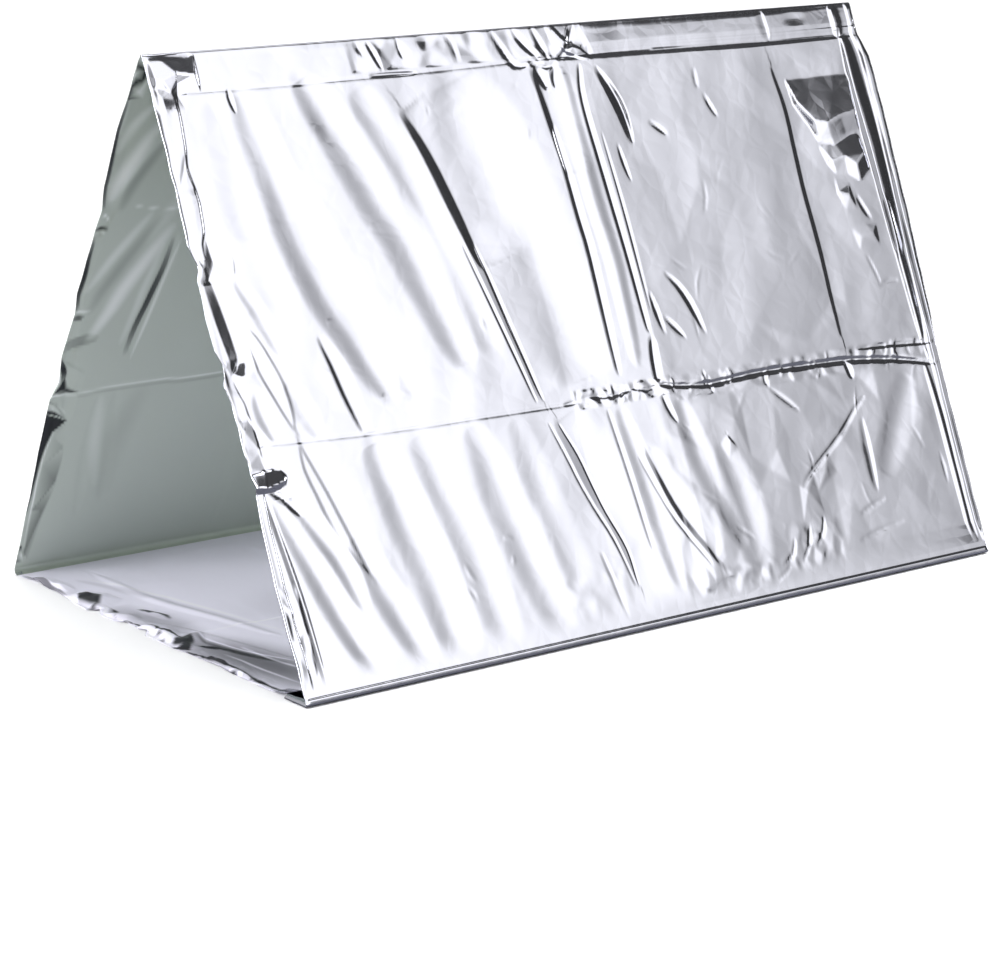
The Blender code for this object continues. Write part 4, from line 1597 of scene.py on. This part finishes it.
@dataclass
class Studio:
    """The floor, the ring of soft light round the shelter and the camera.

    Attributes:
        focal_px: the lens, in pixels of a picture picture_px wide.
        picture_px: that picture's width.
        sensor_mm: the camera's sensor.
        camera_at: where the camera stands.
        heading: which way it looks, in degrees from +X towards +Y.
        tilt: how far it looks down, in degrees.
        roll: how far it is turned, in degrees.
        slope: how steep the shelter's sides are, in degrees.
        brightest: what a full tone of the ring stands for.
        floor_size: the floor's sides, in metres.
        floor_colour: the floor as the camera sees it.
        floor_roughness: how matt it is.
        floor_gloss: how much it shines.
        floor_seen_in_film: the floor's colour in the film's mirror only, a painted reflection darker than
            the floor.
        backdrop: what the camera sees past the floor.
        box_at: where the soft box past the far end hangs.
        box_size: its sides, in metres.
        box_watts: its power.
    """

    focal_px: float = 3126.0
    picture_px: float = 1000.0
    sensor_mm: float = 36.0
    camera_at: Triple = (-2.315, -2.916, 1.072)
    heading: float = 51.82
    tilt: float = 14.47
    roll: float = -0.74
    slope: float = 65.5
    brightest: float = 9.0
    floor_size: float = 60.0
    floor_colour: str = "#fafafc"
    floor_roughness: float = 0.9
    floor_gloss: float = 0.1
    floor_seen_in_film: str = "#5c5d64"
    backdrop: str = "#ffffff"
    box_at: Triple = (1.45, 0.0, 0.5)
    box_size: float = 1.0
    box_watts: float = 22.0

    def floor(self) -> None:
        """Lays a plain pale floor, with a painted reflection: the film mirrors it darker than it looks."""
        half = self.floor_size / 2
        corners = [(-half, -half, 0), (half, -half, 0), (half, half, 0), (-half, half, 0)]
        mesh = bpy.data.meshes.new("floor_plane")
        mesh.from_pydata(corners, [], [(0, 1, 2, 3)])
        paint = bpy.data.materials.new("matt pale floor paint")
        paint.use_nodes = True
        tree = paint.node_tree
        shader = tree.nodes["Principled BSDF"]
        # Painted reflection: glossy rays see the floor in the darker floor_seen_in_film colour.
        mirrored = add_node(tree, "LightPath").outputs["Is Glossy Ray"]
        tones = {"data_type": "RGBA", MIX_A: linear(self.floor_colour)}
        tones[MIX_B] = linear(self.floor_seen_in_film)
        colour = add_node(tree, "Mix", tones, {"Factor": mirrored})
        tree.links.new(colour.outputs[MIX_RESULT], shader.inputs["Base Color"])
        shader.inputs["Roughness"].default_value = self.floor_roughness
        shader.inputs["Specular IOR Level"].default_value = self.floor_gloss
        mesh.materials.append(paint)
        plane = bpy.data.objects.new("floor_plane", mesh)
        bpy.context.collection.objects.link(plane)
        plane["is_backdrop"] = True

    def angles(self, tree: bpy.types.NodeTree) -> tuple[bpy.types.NodeSocket, bpy.types.NodeSocket]:
        """Works out where a ray goes, seen square to the side that it leaves, the same on both sides.

        Args:
            tree: the world's nodes.

        Returns:
            Its bearing from -90 to 90 degrees as a share of 0 to 1, and its rise in radians.
        """
        way = add_node(tree, "TexCoord").outputs["Generated"]
        split = add_node(tree, "SeparateXYZ", {}, {"Vector": way})
        side = add_node(tree, "Math", {"operation": "ABSOLUTE"}, {0: split.outputs["Y"]})
        parts = {"X": split.outputs["X"], "Y": side.outputs[0], "Z": split.outputs["Z"]}
        ray = add_node(tree, "CombineXYZ", {}, parts).outputs[0]
        steep = math.radians(self.slope)
        out = {"operation": "DOT_PRODUCT", 1: (0, math.sin(steep), math.cos(steep))}
        up = {"operation": "DOT_PRODUCT", 1: (0, -math.cos(steep), math.sin(steep))}
        out, up = (add_node(tree, "VectorMath", axis, {0: ray}).outputs["Value"] for axis in (out, up))
        bearing = add_node(tree, "Math", {"operation": "ARCTAN2"}, {0: split.outputs["X"], 1: out})
        halved = {"operation": "MULTIPLY_ADD", 1: 1 / math.pi, 2: 0.5}
        share = add_node(tree, "Math", halved, {0: bearing.outputs[0]})
        rise = add_node(tree, "Math", {"operation": "ARCSINE"}, {0: up})
        return share.outputs[0], rise.outputs[0]

    def ring(self) -> None:
        """Sets up the ring of soft light, the same on both sides of the shelter."""
        world = bpy.data.worlds.new("soft ring of light")
        bpy.context.scene.world = world
        world.use_nodes = True
        tree = world.node_tree
        share, rise = self.angles(tree)
        tone = None
        for tier in TIERS:
            flats = add_node(tree, "ValToRGB", {}, {"Fac": share})
            stops = flats.color_ramp.elements
            for number, (at, bright) in enumerate(tier.tones):
                stop = stops[number] if number < 2 else stops.new(1.0)
                stop.position = at / 180 + 0.5
                stop.color = (*[bright / self.brightest] * 3, 1)
            if tone is None:
                tone = flats.outputs["Color"]
                continue
            low, high = (math.radians(tier.above + way * tier.soft) for way in (-1, 1))
            eased = {"interpolation_type": "SMOOTHSTEP", "From Min": low, "From Max": high}
            start = add_node(tree, "MapRange", eased, {"Value": rise})
            over = {"Factor": start.outputs[0], MIX_A: tone, MIX_B: flats.outputs["Color"]}
            tone = add_node(tree, "Mix", {"data_type": "RGBA"}, over).outputs[MIX_RESULT]
        light = tree.nodes["Background"]
        tree.links.new(tone, light.inputs["Color"])
        light.inputs["Strength"].default_value = self.brightest
        plain = add_node(tree, "Background", {"Color": linear(self.backdrop), "Strength": 1.0})
        seen = add_node(tree, "LightPath").outputs["Is Camera Ray"]
        both = add_node(tree, "MixShader", {}, {0: seen, 1: light.outputs[0], 2: plain.outputs[0]})
        tree.links.new(both.outputs[0], tree.nodes["World Output"].inputs["Surface"])

    def far_light(self) -> None:
        """Hangs a soft box past the far end, which lights the inside and isn't mirrored."""
        data = bpy.data.lights.new("soft box", "AREA")
        data.shape, data.size, data.energy = "SQUARE", self.box_size, self.box_watts
        box = bpy.data.objects.new("soft_box", data)
        box.location = self.box_at
        box.rotation_euler = (0, math.radians(90), 0)
        box.visible_camera = box.visible_glossy = False
        bpy.context.collection.objects.link(box)

    def camera(self) -> None:
        """Sets up the camera at the photograph's viewing angle."""
        data = bpy.data.cameras.new("camera")
        data.lens = self.sensor_mm * self.focal_px / self.picture_px
        data.sensor_width = self.sensor_mm
        turn, dip, roll = (math.radians(value) for value in (self.heading, self.tilt, self.roll))
        ahead = Vector((math.cos(turn) * math.cos(dip), math.sin(turn) * math.cos(dip), -math.sin(dip)))
        right = ahead.cross(Vector((0, 0, 1))).normalized()
        up = right.cross(ahead)
        across = right * math.cos(roll) - up * math.sin(roll)
        upward = right * math.sin(roll) + up * math.cos(roll)
        camera = bpy.data.objects.new("camera", data)
        turned = Matrix((across, upward, -ahead)).transposed().to_4x4()
        camera.matrix_world = Matrix.Translation(self.camera_at) @ turned
        bpy.context.collection.objects.link(camera)
        bpy.context.scene.camera = camera

    def build(self) -> None:
        """Builds the whole studio."""
        self.floor()
        self.ring()
        self.far_light()
        self.camera()
        bpy.context.scene.view_settings.view_transform = "Standard"


@dataclass
class FoilShelter:
    """The blanket's film, as a near side, a far side and a floor that meet at its bends.

    Attributes:
        section: the film's way round the shelter.
        film: the finish of the two sides.
        floor_film: the finish of the floor, with a paler and duller inner face.
    """

    section: Section = field(default_factory=Section)
    film: AluminisedFilm = field(default_factory=AluminisedFilm)
    floor_film: AluminisedFilm = AluminisedFilm(
        name="aluminised polyester film on the ground",
        film_colour="#efedfd",
        painted_shade_colour="#26262c",
        painted_highlight_colour="#ffffff",
        film_metal=0.10,
        film_roughness=0.36,
    )

    def side_far_hem(self) -> Hem:
        """The plain hem at the far end of both sides."""
        edge = ((0.045, 0), (0.075, -0.011), (0.150, -0.012), (0.300, -0.009), (0.420, -0.004), (0.465, 0))
        return Hem(even(0.020), even(0.014), even(0.08), 0.0009, roll=0.5, edge=edge, rough=0.20, seed=31)

    def near_side(self) -> FilmPanel:
        """The near side, with the folded base edge, cut at two rows."""
        section = self.section
        base = section.near_base - section.crest
        strip = ((0, 0.018), (0.5, 0.022), (0.716, 0.014))
        rolled = {"roll": 0.16, "fall": 0.14, "rough": 0.12, "edge": NEAR_EDGE, "pinches": NEAR_PINCHES}
        return FilmPanel(
            names=("near_side_crest_film", "near_side_upper_film", "near_side_lower_film"),
            section=section,
            start=section.crest,
            sign=1,
            reach=float(section.along[-1]) - section.crest,
            open_hem=Hem(strip, NEAR_WIDTHS, NEAR_PUFF, 0.0030, **rolled),
            far_hem=self.side_far_hem(),
            features=(
                *NEAR_TENSION_FOLDS,
                *NEAR_PACKING_FOLDS,
                *NEAR_LOWER_FOLDS,
                *NEAR_CREST_FOLDS,
                *NEAR_GATHERS,
                *NEAR_UNEVENNESS,
            ),
            column_pitch=0.0021,
            row_pitch=0.0025,
            close_rows=(
                (0, 0.006, 0.001),
                (0.042, 0.010, 0.0014),
                (0.457, 0.014, 0.0014),
                (base, 0.012, 0.0009),
            ),
            guides=NEAR_GUIDES,
            quiet=((0, 0), (0.010, 1), (base - 0.040, 1), (base - 0.012, 0), (1, 0)),
            trims=NEAR_TRIMS,
            broad=NEAR_BROAD,
            seams=(0.235, 0.505),
        )

    def far_side(self) -> FilmPanel:
        """The far side, whose inner face shows through the open end."""
        section = self.section
        base = section.crest - section.far_base
        puff = ((0, 0.06), (0.450, 0.06), (0.480, 0.03), (1, 0.03))
        rim = {"gap": -0.004, "edge": FAR_EDGE, "rough": 0.4, "seed": 9}
        return FilmPanel(
            names=("far_side_film",),
            section=section,
            start=section.crest,
            sign=-1,
            reach=base,
            open_hem=Hem(even(0.010), NEAR_WIDTHS, puff, 0.0050, **rim),
            far_hem=self.side_far_hem(),
            features=FAR_FEATURES,
            column_pitch=0.0032,
            row_pitch=0.0045,
            close_rows=(
                (0, 0.006, 0.001),
                (0.040, 0.020, 0.0025),
                (0.440, 0.060, 0.0028),
                (base, 0.010, 0.0012),
            ),
            guides=(Guide(70, 1.6, ((70, 0), (70, 771))),),
            quiet=((0, 0), (0.010, 1), (base - 0.03, 1), (base - 0.006, 0), (1, 0)),
            shades=FAR_SHADES,
        )

    def floor(self) -> FilmPanel:
        """The floor, from the far base edge to its edge over the near one."""
        crushed = {"gap": -0.0005, "edge": FLOOR_EDGE, "wander": 0.0012, "seed": 41}
        return FilmPanel(
            names=("floor_film",),
            section=self.section,
            start=self.section.far_base,
            sign=-1,
            reach=self.section.far_base,
            open_hem=Hem(even(0.020), even(0.03), even(0), 0, **crushed),
            far_hem=Hem(even(0.020), even(0.02), even(0), 0.0012, rough=0.5, seed=51),
            features=FLOOR_FEATURES,
            column_pitch=0.0040,
            row_pitch=0.0030,
            close_rows=((0, 0.01, 0.002), (0.53, 0.04, 0.003)),
            guides=(Guide(50, 1.8, ((50, 0), (50, 771))),),
            quiet=((0, 0), (0.03, 1), (0.52, 1), (0.55, 0), (1, 0)),
            shades=FLOOR_SHADES,
            sway=0.0012,
            held="laid",
            up_only=True,
        )

    def build(self) -> None:
        """Builds every panel in its finish."""
        film, floor_film = self.film.material(), self.floor_film.material()
        self.near_side().build(film)
        self.far_side().build(film)
        self.floor().build(floor_film)


def write_size() -> None:
    """Works out the solid's box and the visual model's box."""
    boxes = {"cad": CAD_BOX, "visual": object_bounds()}
    boxes = {name: [list(corner) for corner in box] for name, box in boxes.items()}


def main() -> None:
    """Builds the studio and the shelter."""
    logging.basicConfig(level=logging.INFO, format="%(name)s %(message)s")
    Studio().build()
    LOG.info("studio")
    FoilShelter().build()
    write_size()


if __name__ == "__main__":
    main()
